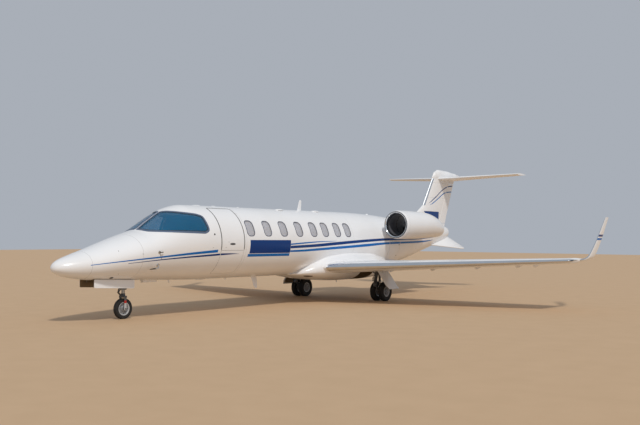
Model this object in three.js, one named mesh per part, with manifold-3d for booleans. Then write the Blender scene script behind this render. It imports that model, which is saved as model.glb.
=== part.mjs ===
// Twin-engine light business jet, parked on its landing gear.
// Units are millimetres. The nose points along -Y, the left wing along +X and up is +Z.
// The ground is z = 0 and the origin is below the middle of the aeroplane.
// A station is a distance aft of the nose tip.

import * as THREE from 'three';
import { mergeVertices } from 'three/addons/utils/BufferGeometryUtils.js';
import Module from 'manifold-3d';

const wasm = await Module();
wasm.setup();

// Driving dimensions
const LENGTH = 17560;
const HALF_SPAN = 7290;
const AXIS_Z = 1676;
const WALL = 80;
const LIGHT_WALL = 45;
const GAP = 0.3;
const MOVING_GAP = 9;
const END_GAP = 12;
const DOOR_GAP = 6;
const PIN_GAP = 2;
const FIT_GAP = 4;
const SLIVER = 1;
const HULL_SIDES = 20;
const FAIRING_SIDES = 16;
const BULLET_SIDES = 10;
const CORE_SIDES = 16;
const ROLLER_SIDES = 24;
const WHEEL_SIDES = 20;

const SIDES = [
  { name: 'left', mirrored: false },
  { name: 'right', mirrored: true },
];

const yAt = (station) => station - LENGTH / 2;
const lerp = (a, b, t) => a + (b - a) * t;

// Solids

function solidFromArrays(points, triangles) {
  let volume = 0;
  const a = new THREE.Vector3();
  const b = new THREE.Vector3();
  const c = new THREE.Vector3();
  for (const [i, j, k] of triangles) {
    a.fromArray(points[i]);
    b.fromArray(points[j]);
    c.fromArray(points[k]);
    volume += a.dot(b.cross(c));
  }
  const outward = volume > 0 ? triangles : triangles.map(([i, j, k]) => [i, k, j]);
  return new wasm.Manifold(new wasm.Mesh({
    numProp: 3,
    vertProperties: new Float32Array(points.flat()),
    triVerts: new Uint32Array(outward.flat()),
  }));
}

function solidFromGeometry(geometry) {
  geometry.deleteAttribute('normal');
  geometry.deleteAttribute('uv');
  const merged = mergeVertices(geometry, 1e-3);
  const flat = Array.from(merged.index.array);
  const triangles = [];
  for (let i = 0; i < flat.length; i += 3) {
    const triangle = flat.slice(i, i + 3);
    if (new Set(triangle).size === 3) triangles.push(triangle);
  }
  const position = merged.attributes.position;
  const points = [];
  for (let i = 0; i < position.count; i += 1) {
    points.push([position.getX(i), position.getY(i), position.getZ(i)]);
  }
  return solidFromArrays(points, triangles);
}

function geometryFromSolid(solid, mirrored = false) {
  const mesh = solid.getMesh();
  const position = Float32Array.from(mesh.vertProperties);
  const index = Array.from(mesh.triVerts);
  if (mirrored) {
    for (let i = 0; i < position.length; i += 3) position[i] = -position[i];
    index.reverse();
  }
  const geometry = new THREE.BufferGeometry();
  geometry.setAttribute('position', new THREE.BufferAttribute(position, 3));
  geometry.setIndex(index);
  geometry.computeVertexNormals();
  return geometry;
}

const join = (solids) => solids.reduce((whole, piece) => whole.add(piece));
const cut = (solid, tools) => tools.reduce((rest, tool) => rest.subtract(tool), solid);

// A skin through rings of points, with a fan over each end. Each four-sided patch is split
// along the diagonal that keeps the left and right halves of a body mirror images.
function loft(rings) {
  const count = rings[0].length;
  const points = rings.flat();
  const triangles = [];
  for (let r = 0; r + 1 < rings.length; r += 1) {
    for (let i = 0; i < count; i += 1) {
      const j = (i + 1) % count;
      const low = r * count;
      const high = low + count;
      const corners = [low + i, low + j, high + i, high + j];
      const sideways = corners.reduce((sum, corner) => sum + points[corner][0], 0);
      if (sideways < 0) triangles.push([low + i, low + j, high + i], [low + j, high + j, high + i]);
      else triangles.push([low + i, low + j, high + j], [low + i, high + j, high + i]);
    }
  }
  const ends = [
    { ring: rings[0], start: 0, backwards: true },
    { ring: rings.at(-1), start: (rings.length - 1) * count, backwards: false },
  ];
  for (const { ring, start, backwards } of ends) {
    const centre = [0, 1, 2].map((axis) => ring.reduce((sum, p) => sum + p[axis], 0) / count);
    const hub = points.push(centre) - 1;
    for (let i = 0; i < count; i += 1) {
      const j = (i + 1) % count;
      triangles.push(backwards ? [hub, start + j, start + i] : [hub, start + i, start + j]);
    }
  }
  return solidFromArrays(points, triangles);
}

function box(from, to) {
  const size = to.map((value, axis) => value - from[axis]);
  const geometry = new THREE.BoxGeometry(...size);
  geometry.translate(...to.map((value, axis) => (value + from[axis]) / 2));
  return solidFromGeometry(geometry);
}

// A straight round bar or cone from one point to another.
function rod(from, to, radius, endRadius = radius, sides = 8) {
  const start = new THREE.Vector3(...from);
  const end = new THREE.Vector3(...to);
  const along = end.clone().sub(start);
  const geometry = new THREE.CylinderGeometry(endRadius, radius, along.length(), sides);
  const turn = new THREE.Quaternion().setFromUnitVectors(
    new THREE.Vector3(0, 1, 0), along.clone().normalize());
  geometry.applyQuaternion(turn);
  geometry.translate(...start.add(end).multiplyScalar(0.5).toArray());
  return solidFromGeometry(geometry);
}

// A convex outline with every edge moved inwards by a distance (outwards if negative).
function insetOutline(outline, distance) {
  const turn = outline.reduce((sum, [u, v], i) => {
    const [nextU, nextV] = outline[(i + 1) % outline.length];
    return sum + u * nextV - nextU * v;
  }, 0);
  const side = Math.sign(turn) * distance;
  const edges = outline.map(([u, v], i) => {
    const [nextU, nextV] = outline[(i + 1) % outline.length];
    const length = Math.hypot(nextU - u, nextV - v);
    const along = [(nextU - u) / length, (nextV - v) / length];
    return { at: [u - along[1] * side, v + along[0] * side], along };
  });
  return edges.map((edge, i) => {
    const before = edges[(i + edges.length - 1) % edges.length];
    const cross = before.along[0] * edge.along[1] - before.along[1] * edge.along[0];
    const apart = [edge.at[0] - before.at[0], edge.at[1] - before.at[1]];
    const travel = (apart[0] * edge.along[1] - apart[1] * edge.along[0]) / cross;
    return [before.at[0] + before.along[0] * travel, before.at[1] + before.along[1] * travel];
  });
}

// An outline with rounded corners, as a shape.
function roundedShape(outline, radius) {
  const shape = new THREE.Shape();
  outline.forEach((corner, i) => {
    const towards = (other) => {
      const length = Math.hypot(other[0] - corner[0], other[1] - corner[1]);
      const share = Math.min(radius / length, 0.5);
      return [lerp(corner[0], other[0], share), lerp(corner[1], other[1], share)];
    };
    const before = towards(outline[(i + outline.length - 1) % outline.length]);
    const after = towards(outline[(i + 1) % outline.length]);
    if (i === 0) shape.moveTo(...before);
    else shape.lineTo(...before);
    if (radius > 0) shape.quadraticCurveTo(...corner, ...after);
  });
  shape.closePath();
  return shape;
}

// The outline's plane is YZ for axis x, ZX for axis y and XY for axis z.
const PLANES = {
  x: [[0, 1, 0], [0, 0, 1], [1, 0, 0]],
  y: [[0, 0, 1], [1, 0, 0], [0, 1, 0]],
  z: [[1, 0, 0], [0, 1, 0], [0, 0, 1]],
};

function prism(outline, axis, from, to, radius = 0, cornerSteps = 4) {
  const geometry = new THREE.ExtrudeGeometry(roundedShape(outline, radius), {
    depth: to - from, bevelEnabled: false, curveSegments: cornerSteps,
  });
  geometry.translate(0, 0, from);
  const [u, v, w] = PLANES[axis].map((direction) => new THREE.Vector3(...direction));
  geometry.applyMatrix4(new THREE.Matrix4().makeBasis(u, v, w));
  return solidFromGeometry(geometry);
}

const rectangle = (u0, u1, v0, v1) => [[u0, v0], [u1, v0], [u1, v1], [u0, v1]];

// A body turned about the Y axis from [radius, y] pairs, and bent where a bend is given.
function turnedAboutY(profile, sides = 20, bend = (geometry) => geometry) {
  const points = profile.map(([radius, y]) => new THREE.Vector2(radius, y));
  return solidFromGeometry(bend(new THREE.LatheGeometry(points, sides)));
}

// A body turned about the X axis from [radius, x] pairs, with a flat facet at the bottom.
function turnedAboutX(profile, sides = WHEEL_SIDES) {
  const points = profile.map(([radius, x]) => new THREE.Vector2(radius, x));
  const geometry = new THREE.LatheGeometry(points, sides, Math.PI / sides);
  geometry.rotateZ(-Math.PI / 2);
  return solidFromGeometry(geometry);
}

// Fuselage outline: station, crown height, keel height, half width, height of the widest point
const FUSELAGE = [
  [0, 1180, 1128, 28, 1153],
  [30, 1236, 1082, 105, 1153],
  [110, 1300, 1030, 190, 1158],
  [250, 1362, 975, 283, 1168],
  [450, 1428, 930, 375, 1186],
  [850, 1553, 884, 516, 1235],
  [1340, 1718, 862, 640, 1330],
  [1930, 1902, 842, 742, 1450],
  [2060, 1934, 838, 760, 1476],
  [2400, 2143, 828, 800, 1545],
  [2850, 2402, 815, 842, 1620],
  [3100, 2500, 808, 860, 1650],
  [3400, 2560, 798, 876, 1668],
  [3930, 2566, 788, 890, AXIS_Z],
  [10000, 2566, 786, 890, AXIS_Z],
  [11300, 2535, 800, 886, AXIS_Z],
  [12300, 2470, 960, 850, 1712],
  [13200, 2420, 1105, 760, 1775],
  [14100, 2385, 1300, 630, 1840],
  [15200, 2330, 1540, 460, 1925],
  [16200, 2252, 1770, 275, 2008],
  [16400, 2222, 1868, 190, 2040],
  [16480, 2170, 1930, 125, 2052],
  [16510, 2115, 1990, 55, 2055],
];

function fuselageRing(station, inset) {
  const last = FUSELAGE.length - 2;
  const found = FUSELAGE.findIndex((row) => row[0] >= station) - 1;
  const row = THREE.MathUtils.clamp(found, 0, last);
  const t = (station - FUSELAGE[row][0]) / (FUSELAGE[row + 1][0] - FUSELAGE[row][0]);
  const [, top, bottom, half, wide] = FUSELAGE[row].map((value, i) => {
    return lerp(value, FUSELAGE[row + 1][i], t);
  });
  return Array.from({ length: HULL_SIDES }, (_, i) => {
    const angle = (2 * Math.PI * (i + 0.5)) / HULL_SIDES;
    const rise = Math.sin(angle) > 0 ? top - wide - inset : wide - bottom - inset;
    return [(half - inset) * Math.cos(angle), yAt(station), wide + rise * Math.sin(angle)];
  });
}

function fuselageSolid(from, to, inset = 0) {
  const between = FUSELAGE.map(([station]) => station)
    .filter((station) => station > from + SLIVER && station < to - SLIVER);
  return loft([from, ...between, to].map((station) => fuselageRing(station, inset)));
}

// The layer of the fuselage between two depths below its surface.
function layer(from, to, outer, inner) {
  return fuselageSolid(from, to, outer).subtract(fuselageSolid(from - SLIVER, to + SLIVER, inner));
}

const wholeFuselage = fuselageSolid(0, FUSELAGE.at(-1)[0], -GAP);

// Doors and windows of the fuselage
const DOOR = { front: 3970, rear: 4760 };
const LOWER_DOOR_ANGLES = [-57, -12];
const UPPER_DOOR_ANGLES = [-12, 67.5];
const BAGGAGE_DOOR = { front: 11330, rear: 11960, sill: 1150, head: 1720, corner: 60 };
const WINDOW_STATIONS = [5025, 5665, 6295, 6935, 7555, 8080, 8650, 9145];
const WINDOW = { width: 265, height: 400, z: 2036, corner: 125 };
const WINDOW_BELT = { bottom: 1770, top: 2300, thickness: 24, paneInset: 6, paneDepth: 90 };
const WINDSHIELD = {
  outline: [
    [2050, 1934], [3480, 1905], [3610, 1960], [3565, 2290], [3420, 2330], [2860, 2392], [2540, 2420],
  ],
  postHalfWidth: 32,
  corner: 60,
  paneInset: 4,
  paneDepth: 30,
};
const INSIDE_SKIN = 300;
const BEYOND_SKIN = 1300;
const CORNER_STEPS = 2;

// A sector about the fuselage axis, in the ZX plane.
function doorSector([low, high], inset) {
  const polar = (degrees) => {
    const angle = THREE.MathUtils.degToRad(degrees);
    return [AXIS_Z + BEYOND_SKIN * Math.sin(angle), BEYOND_SKIN * Math.cos(angle)];
  };
  const middle = (low + high) / 2;
  return insetOutline([[AXIS_Z, 0], polar(low), polar(middle), polar(high)], inset);
}

function doorTool(angles, inset) {
  return prism(doorSector(angles, inset), 'y', yAt(DOOR.front) + inset, yAt(DOOR.rear) - inset);
}

const sideOutline = (points) => points.map(([station, z]) => [yAt(station), z]);

function windshieldTool(inset) {
  const { outline, postHalfWidth, corner } = WINDSHIELD;
  const edge = insetOutline(sideOutline(outline), inset);
  return prism(edge, 'x', postHalfWidth + inset, BEYOND_SKIN, corner, CORNER_STEPS);
}

function windowTool(station, inset) {
  const { width, height, z, corner } = WINDOW;
  const y = yAt(station);
  const outline = rectangle(y - width / 2, y + width / 2, z - height / 2, z + height / 2);
  return prism(insetOutline(outline, inset), 'x', INSIDE_SKIN, BEYOND_SKIN, corner, CORNER_STEPS);
}

function baggageTool(inset) {
  const { front, rear, sill, head, corner } = BAGGAGE_DOOR;
  const outline = insetOutline(rectangle(yAt(front), yAt(rear), sill, head), inset);
  return prism(outline, 'x', INSIDE_SKIN, BEYOND_SKIN, corner, CORNER_STEPS);
}

// A solid and its mirror image on the other side of the aeroplane, as two tools.
const bothSides = (solid) => [solid, solidFromGeometry(geometryFromSolid(solid, true))];

// Fuselage sections: the wall, and the thickness of a closed front or rear end (0 is open).
const HULL = {
  nose_section: { from: 850, to: 1930, wall: LIGHT_WALL, front: 30, rear: 0 },
  cockpit_shell: { from: 1930, to: 3930, wall: WALL, front: 50, rear: 0 },
  entry_frame_shell: { from: 3930, to: 4800, wall: WALL, front: 0, rear: 0 },
  cabin_shell: { from: 4800, to: 9400, wall: WALL, front: 0, rear: 50 },
  aft_fuselage: { from: 9400, to: 13200, wall: LIGHT_WALL, front: 30, rear: 30 },
  tail_cone: { from: 13200, to: 16510, wall: LIGHT_WALL, front: 0, rear: 200 },
};
const RADOME = { from: 0, to: 850, wall: 20, hollowFrom: 250 };

function hullShell({ from, to, wall, front, rear }) {
  const outside = fuselageSolid(from + GAP / 2, to - GAP / 2);
  const inside = fuselageSolid(
    front ? from + front : from - SLIVER,
    rear ? to - rear : to + SLIVER,
    wall,
  );
  return outside.subtract(inside);
}

// The trimmed part of the cabin, clear of the shell's closed rear end
const CABIN = { front: HULL.cabin_shell.from + 20, rear: HULL.cabin_shell.to - 70 };

// Nose gear bay and main gear bays, as [low corner, high corner]
const NOSE_BAY = [[-200, yAt(870), 700], [200, yAt(1895), 1260]];
const MAIN_BAY = [[330, yAt(9640), 400], [1560, yAt(9985), 985]];
const FAIRING_BAY = [[330, yAt(9560), 400], [1300, yAt(10240), 985]];
const BAY_FRAME = { sides: 25, ends: 15, roof: 25, bottom: 800 };

function radome() {
  const outside = fuselageSolid(RADOME.from, RADOME.to - GAP / 2);
  const inside = fuselageSolid(RADOME.hollowFrom, RADOME.to + SLIVER, RADOME.wall);
  return outside.subtract(inside);
}

function noseSection() {
  const [low, high] = NOSE_BAY;
  const { sides, ends, roof, bottom } = BAY_FRAME;
  const frame = box(
    [low[0] - sides, low[1] - ends, bottom],
    [high[0] + sides, high[1] + ends, high[2] + roof],
  );
  const within = fuselageSolid(HULL.nose_section.from + GAP / 2, HULL.nose_section.to - GAP / 2);
  return hullShell(HULL.nose_section).add(frame.intersect(within)).subtract(box(...NOSE_BAY));
}

const cockpitShell = () => cut(hullShell(HULL.cockpit_shell), bothSides(windshieldTool(0)));

function entryFrameShell() {
  return cut(hullShell(HULL.entry_frame_shell), [
    doorTool([LOWER_DOOR_ANGLES[0], UPPER_DOOR_ANGLES[1]], 0),
  ]);
}

function cabinShell() {
  const tools = WINDOW_STATIONS.flatMap((station) => bothSides(windowTool(station, 0)));
  return cut(hullShell(HULL.cabin_shell), tools);
}

const aftFuselage = () => cut(hullShell(HULL.aft_fuselage), [baggageTool(0)]);

function windshield() {
  const { from, to } = HULL.cockpit_shell;
  return layer(from, to, WINDSHIELD.paneInset, WINDSHIELD.paneDepth).intersect(windshieldTool(GAP));
}

// Eight panes on the trim panel that carries them along the cabin wall.
function windowBelt() {
  const { bottom, top, thickness, paneInset, paneDepth } = WINDOW_BELT;
  const band = box([INSIDE_SKIN, yAt(CABIN.front), bottom], [BEYOND_SKIN, yAt(CABIN.rear), top]);
  const panel = layer(CABIN.front, CABIN.rear, WALL + GAP, WALL + thickness).intersect(band);
  const glazed = layer(CABIN.front, CABIN.rear, paneInset, paneDepth);
  const panes = WINDOW_STATIONS.map((station) => glazed.intersect(windowTool(station, GAP)));
  return join([panel, ...panes]);
}

function entryDoor(angles) {
  return layer(DOOR.front, DOOR.rear, 0, WALL).intersect(doorTool(angles, DOOR_GAP));
}

function baggageDoor() {
  const { front, rear } = BAGGAGE_DOOR;
  return layer(front, rear, 0, LIGHT_WALL).intersect(baggageTool(MOVING_GAP));
}

// Interior
const FLOOR = { front: 2050, rear: 9330, bottom: 700, top: 985 };
const LEDGE = { x: 260, front: 5100, rear: 9250, top: 1105 };

function cabinFloor() {
  const { front, rear, bottom, top } = FLOOR;
  const slab = box([-BEYOND_SKIN, yAt(front), bottom], [BEYOND_SKIN, yAt(rear), top]);
  return fuselageSolid(front, rear, WALL + FIT_GAP).intersect(slab);
}

// Seat slabs: nearest and farthest distance aft of the seat's middle, bottom and top above its
// base, and half width
const SEAT = {
  plinth: [-200, 220, 0, 220, 175],
  cushion: [-250, 260, 200, 350, 235],
  back: [170, 290, 330, 850, 220],
  headrest: [180, 270, 830, 1010, 135],
};

// A seat facing the nose (facing = 1) or the tail (facing = -1), on its own base.
function seat(x, station, base, facing) {
  return join(Object.values(SEAT).map(([near, far, low, high, half]) => {
    const ends = [near, far].map((aft) => yAt(station) + facing * aft).sort((a, b) => a - b);
    return box([x - half, ends[0], base + low], [x + half, ends[1], base + high]);
  }));
}

// Cabin seats: distance of the seat's middle from the centreline, station, facing
const CABIN_SEATS = [
  [430, 5560, -1],
  [430, 6760, 1],
  [430, 7560, -1],
  [430, 8760, 1],
];

function cabinSeats() {
  const { x: inner, front, rear, top } = LEDGE;
  const ledge = box([inner, yAt(front), FLOOR.top + GAP], [BEYOND_SKIN, yAt(rear), top]);
  const seats = CABIN_SEATS.map(([x, station, facing]) => seat(x, station, top - SLIVER, facing));
  const room = fuselageSolid(CABIN.front, CABIN.rear, WALL + WINDOW_BELT.thickness + GAP);
  return join([ledge, ...seats]).intersect(room);
}

const COCKPIT_SEAT = { x: 330, station: 3260 };

function cockpitSeat() {
  const { from, to } = HULL.cockpit_shell;
  const room = fuselageSolid(from, to, WALL + FIT_GAP);
  return seat(COCKPIT_SEAT.x, COCKPIT_SEAT.station, FLOOR.top + GAP, 1).intersect(room);
}

// Side outlines, as station and height, of the panel with its glare shield and of the pedestal
// between the seats
const PANEL = { halfWidth: 640, outline: [[2330, 1180], [2480, 1180], [2430, 1830], [2060, 1830]] };
const PEDESTAL = {
  halfWidth: 75,
  outline: [[2400, FLOOR.top + GAP], [3150, FLOOR.top + GAP], [3150, 1330], [2400, 1480]],
};

function instrumentPanel() {
  const { from, to } = HULL.cockpit_shell;
  const pieces = [PANEL, PEDESTAL].map(({ outline, halfWidth }) => {
    return prism(sideOutline(outline), 'x', -halfWidth, halfWidth);
  });
  return join(pieces).intersect(fuselageSolid(from, to, WALL + FIT_GAP));
}

// Wings, tail surfaces and their sections

// A closed aerofoil loop from the trailing edge over the top and back below:
// pairs of distance aft of the leading edge and height above the chord line.
const FOIL_STEPS = 7;

function foilHalfThickness(fraction, chord, ratio) {
  const bow = 0.2969 * Math.sqrt(fraction) - 0.126 * fraction - 0.3516 * fraction ** 2
    + 0.2843 * fraction ** 3 - 0.1015 * fraction ** 4;
  return 5 * ratio * bow * chord + 2 * fraction;
}

function foil(chord, ratio) {
  const upper = [];
  const lower = [];
  for (let i = 0; i <= FOIL_STEPS; i += 1) {
    const fraction = (1 - Math.cos((Math.PI * i) / FOIL_STEPS)) / 2;
    const half = foilHalfThickness(fraction, chord, ratio);
    upper.unshift([fraction * chord, half]);
    if (i > 0) lower.push([fraction * chord, -half]);
  }
  return [...upper, ...lower];
}

// A flat-lying surface from rows of x, leading edge station, chord, height and thickness ratio.
function spanwise(rows, growth = 0) {
  return loft(rows.map(([x, station, chord, z, ratio]) => {
    return foil(chord + 2 * growth, ratio)
      .map(([aft, up]) => [x, yAt(station - growth) + aft, z + up + Math.sign(up) * growth]);
  }));
}

// An upright surface from rows of height, leading edge station, chord and thickness ratio.
function upright(rows) {
  return loft(rows.map(([z, station, chord, ratio]) => {
    return foil(chord, ratio).map(([aft, out]) => [out, yAt(station) + aft, z]);
  }));
}

const WING_ROOT = { x: 0, station: 7600, chord: 2900, z: 950, ratio: 0.13 };
const WING_TIP = { x: 7010, station: 9812, chord: 1200, z: 1272, ratio: 0.11 };
const HINGE_FRACTION = 0.77;

// The wing's values at a distance from the centreline: the planform is straight from root to tip.
function wingAt(x) {
  const t = (x - WING_ROOT.x) / (WING_TIP.x - WING_ROOT.x);
  return ['station', 'chord', 'z', 'ratio'].map((key) => lerp(WING_ROOT[key], WING_TIP[key], t));
}
const wingRow = (x) => [x, ...wingAt(x)];

// The hinge line of a surface given by its rows at a fraction of the chord.
function hingePoint([x, station, chord, z, ratio], fraction) {
  return {
    at: [x, yAt(station) + fraction * chord, z],
    radius: foilHalfThickness(fraction, chord, ratio),
  };
}

// A moving surface with a round nose on its hinge line, and the cove that it turns in.
// The plan is a function of the gap at its ends, in the plane across the given axis.
function hingedTools(start, end, plan, axis, reach, endGap = END_GAP) {
  const [low, high] = reach;
  const along = end.at.map((value, i) => value - start.at[i]);
  const length = Math.hypot(...along);
  const roller = (gap, growth) => {
    const [from, to] = [gap, length - gap].map((distance) => {
      return start.at.map((value, i) => value + (along[i] / length) * distance);
    });
    return rod(from, to, start.radius + growth, end.radius + growth, ROLLER_SIDES);
  };
  return {
    opening: prism(plan(0), axis, low, high).add(roller(0, MOVING_GAP)),
    surface: prism(plan(endGap), axis, low, high).add(roller(endGap, 0)),
  };
}

// The plan outline behind a wing or stabiliser hinge between two rows, narrowed at both ends.
function planBehind(inner, outer, beyond) {
  return (inset) => [
    [inner.at[0] + inset, inner.at[1]],
    [outer.at[0] - inset, outer.at[1]],
    [outer.at[0] - inset, outer.at[1] + beyond],
    [inner.at[0] + inset, inner.at[1] + beyond],
  ];
}

const BEHIND = 1200;
const FLAP = { inner: 1150, outer: 4430 };
const AILERON = { inner: 4480, outer: 6600 };
const SPOILER = { inner: 2350, outer: 4150, front: 0.63, rear: 0.75, thickness: 22 };
const WING_BAND = [600, 1700];

function wingHinged({ inner, outer }) {
  const start = hingePoint(wingRow(inner), HINGE_FRACTION);
  const end = hingePoint(wingRow(outer), HINGE_FRACTION);
  return hingedTools(start, end, planBehind(start, end, BEHIND), 'z', WING_BAND);
}

// The flap's front face is flat, because it swings about a hinge line below the wing. Its ends lie
// square to that line.
function flapPlan(frontGap, endGap) {
  const [start, end] = [FLAP.inner, FLAP.outer].map((x) => {
    return hingePoint(wingRow(x), HINGE_FRACTION).at;
  });
  const slant = BEHIND * (end[1] - start[1]) / (end[0] - start[0]);
  return prism([
    [start[0] + endGap, start[1] + frontGap],
    [end[0] - endGap, end[1] + frontGap],
    [end[0] - endGap - slant, end[1] + BEHIND],
    [start[0] + endGap - slant, start[1] + BEHIND],
  ], 'z', ...WING_BAND);
}

function spoilerPlan(inset) {
  const { inner, outer, front, rear } = SPOILER;
  const corner = (x, fraction) => hingePoint(wingRow(x), fraction).at.slice(0, 2);
  return prism(insetOutline([
    corner(inner, front), corner(outer, front), corner(outer, rear), corner(inner, rear),
  ], inset), 'z', ...WING_BAND);
}

const WING_INNER_X = 700;
const wingSolid = (drop = 0) => {
  return spanwise([WING_INNER_X, WING_TIP.x].map(wingRow).map(([x, station, chord, z, ratio]) => {
    return [x, station, chord, z - drop, ratio];
  }));
};

// Wing to body fairing: station, half width, bottom, top
const FAIRING = [
  [7200, 180, 800, 826],
  [7300, 400, 784, 840],
  [7350, 560, 772, 918],
  [7488, 710, 742, 1022],
  [7725, 860, 695, 1166],
  [8300, 1000, 622, 1384],
  [9300, 1040, 572, 1481],
  [10300, 1030, 575, 1460],
  [11100, 930, 640, 1290],
  [11800, 720, 790, 1120],
  [12350, 500, 1010, 1060],
];
const FAIRING_SQUARENESS = 2.7;

function fairingSolid(growth = 0) {
  return loft(FAIRING.map(([station, half, bottom, top]) => {
    const middle = (top + bottom) / 2;
    const rise = (top - bottom) / 2 + growth;
    const squared = (value) => Math.sign(value) * Math.abs(value) ** (2 / FAIRING_SQUARENESS);
    return Array.from({ length: FAIRING_SIDES }, (_, i) => {
      const angle = (2 * Math.PI * (i + 0.5)) / FAIRING_SIDES;
      const out = (half + growth) * squared(Math.cos(angle));
      return [out, yAt(station), middle + rise * squared(Math.sin(angle))];
    });
  }));
}

const wingFairing = () => cut(fairingSolid(), [wholeFuselage, ...bothSides(box(...FAIRING_BAY))]);

// Hinge fairings: their distances from the centreline, and their side outline, as distance aft of
// the hinge line and height above the wing's lower surface there
const HINGE_FAIRING = {
  xs: [1950, 3200, 4455, 5550, 6000],
  halfWidth: 26,
  outline: [[-520, -10], [-4, 30], [-4, -62], [-60, -76], [-320, -60]],
};

function hingeFairing(x) {
  const { halfWidth, outline } = HINGE_FAIRING;
  const { at: [, y, z], radius } = hingePoint(wingRow(x), HINGE_FRACTION);
  const placed = outline.map(([aft, up]) => [y + aft, z - radius + up]);
  return prism(placed, 'x', x - halfWidth, x + halfWidth);
}

function wing() {
  const spoilerWell = spoilerPlan(0).subtract(wingSolid(SPOILER.thickness + MOVING_GAP));
  const whole = join([wingSolid(), ...HINGE_FAIRING.xs.map(hingeFairing)]);
  return cut(whole, [
    fairingSolid(GAP),
    wholeFuselage,
    flapPlan(0, 0),
    wingHinged(AILERON).opening,
    spoilerWell,
    box(...MAIN_BAY),
  ]);
}

const aileron = () => wingSolid().intersect(wingHinged(AILERON).surface);
const flap = () => wingSolid().intersect(flapPlan(MOVING_GAP, END_GAP));
const spoilerSkin = () => wingSolid().subtract(wingSolid(SPOILER.thickness));
const spoiler = () => spoilerSkin().intersect(spoilerPlan(END_GAP));

const WINGLET_TOP_HALF_THICKNESS = 9.25;

// Winglet sections: x, height, leading edge station, chord, thickness ratio, lean from level (degrees)
const WINGLET = [
  [WING_TIP.x + GAP, WING_TIP.z, 10290, 722, 0.1, 0],
  [7090, 1290, 10480, 610, 0.1, 30],
  [7150, 1350, 10760, 500, 0.09, 70],
  [7185, 1500, 10965, 465, 0.08, 82],
  [HALF_SPAN - WINGLET_TOP_HALF_THICKNESS, 2395, 11815, 260, 0.07, 84],
];

function winglet() {
  return loft(WINGLET.map(([x, z, station, chord, ratio, lean]) => {
    const angle = THREE.MathUtils.degToRad(lean);
    return foil(chord, ratio).map(([aft, up]) => {
      return [x - up * Math.sin(angle), yAt(station) + aft, z + up * Math.cos(angle)];
    });
  }));
}

// Stabiliser rows: x, leading edge station, chord, height, thickness ratio
const STABILISER = [
  [-2640, 16850, 710, 4075, 0.09],
  [0, 15760, 1440, 3935, 0.09],
  [2640, 16850, 710, 4075, 0.09],
];
const ELEVATOR = { inner: 210, outer: 2520, fraction: 0.7 };
const TAIL_BAND = [3500, 4300];

// Bullet fairing on top of the fin: station, half width, half height, height of its middle
const BULLET = [
  [15530, 20, 55, 3975],
  [15680, 75, 150, 4040],
  [15900, 110, 195, 4085],
  [16500, 120, 190, 4110],
  [17050, 92, 140, 4130],
  [17480, 22, 30, 4165],
];

function bulletSolid(growth = 0) {
  return loft(BULLET.map(([station, halfWidth, halfHeight, z]) => {
    return Array.from({ length: BULLET_SIDES }, (_, i) => {
      const angle = (2 * Math.PI * (i + 0.5)) / BULLET_SIDES;
      const out = (halfWidth + growth) * Math.cos(angle);
      return [out, yAt(station), z + (halfHeight + growth) * Math.sin(angle)];
    });
  }));
}

function stabiliserRow(x) {
  const [, root, tip] = STABILISER;
  return root.map((value, i) => lerp(value, tip[i], x / tip[0]));
}

function elevatorTools() {
  const start = hingePoint(stabiliserRow(ELEVATOR.inner), ELEVATOR.fraction);
  const end = hingePoint(stabiliserRow(ELEVATOR.outer), ELEVATOR.fraction);
  return hingedTools(start, end, planBehind(start, end, BEHIND), 'z', TAIL_BAND);
}

function stabiliser() {
  const whole = spanwise(STABILISER).add(bulletSolid());
  return cut(whole, bothSides(elevatorTools().opening));
}

const elevator = () => spanwise(STABILISER).intersect(elevatorTools().surface);

// Fin rows: height, leading edge station, chord, thickness ratio
const FIN = [
  [2150, 13550, 2820, 0.07],
  [2560, 14150, 2370, 0.085],
  [2730, 14470, 2125, 0.09],
  [2950, 14830, 1865, 0.1],
  [3935, 15495, 1640, 0.1],
];

// The rudder's hinge line is straight, whatever the kink in the leading edge: its bottom and top.
// The rudder's ends aren't square to it, so they need more room.
const RUDDER = {
  bottom: 2370,
  top: 3780,
  hingeBottom: 15935,
  hingeTop: 16600,
  halfReach: 200,
  endGap: 20,
};

function finRow(height) {
  const row = FIN.findIndex(([z]) => z >= height) - 1;
  const t = (height - FIN[row][0]) / (FIN[row + 1][0] - FIN[row][0]);
  return FIN[row].map((value, i) => lerp(value, FIN[row + 1][i], t));
}

function rudderTools() {
  const { bottom, top, hingeBottom, hingeTop, halfReach, endGap } = RUDDER;
  const hinge = [[bottom, hingeBottom], [top, hingeTop]].map(([height, hingeStation]) => {
    const [z, station, chord, ratio] = finRow(height);
    return {
      at: [0, yAt(hingeStation), z],
      radius: foilHalfThickness((hingeStation - station) / chord, chord, ratio),
    };
  });
  const plan = (inset) => [
    [hinge[0].at[1], bottom + inset],
    [hinge[0].at[1] + BEHIND, bottom + inset],
    [hinge[1].at[1] + BEHIND, top - inset],
    [hinge[1].at[1], top - inset],
  ];
  return hingedTools(hinge[0], hinge[1], plan, 'x', [-halfReach, halfReach], endGap);
}

function fin() {
  return cut(upright(FIN), [
    rudderTools().opening, wholeFuselage, spanwise(STABILISER, GAP), bulletSolid(GAP),
  ]);
}

const rudder = () => upright(FIN).intersect(rudderTools().surface);

// Ventral fin: a thin delta plate from the tail cone's side, down and outwards
const VENTRAL = {
  rootFront: [330, 14450, 1600],
  rootRear: [190, 16250, 1860],
  tip: [800, 16400, 1450],
  thickness: 34,
  buried: 130,
  frontCut: 150,
  rearReach: 40,
  tipHalf: 60,
  tipCut: 30,
};

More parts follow.
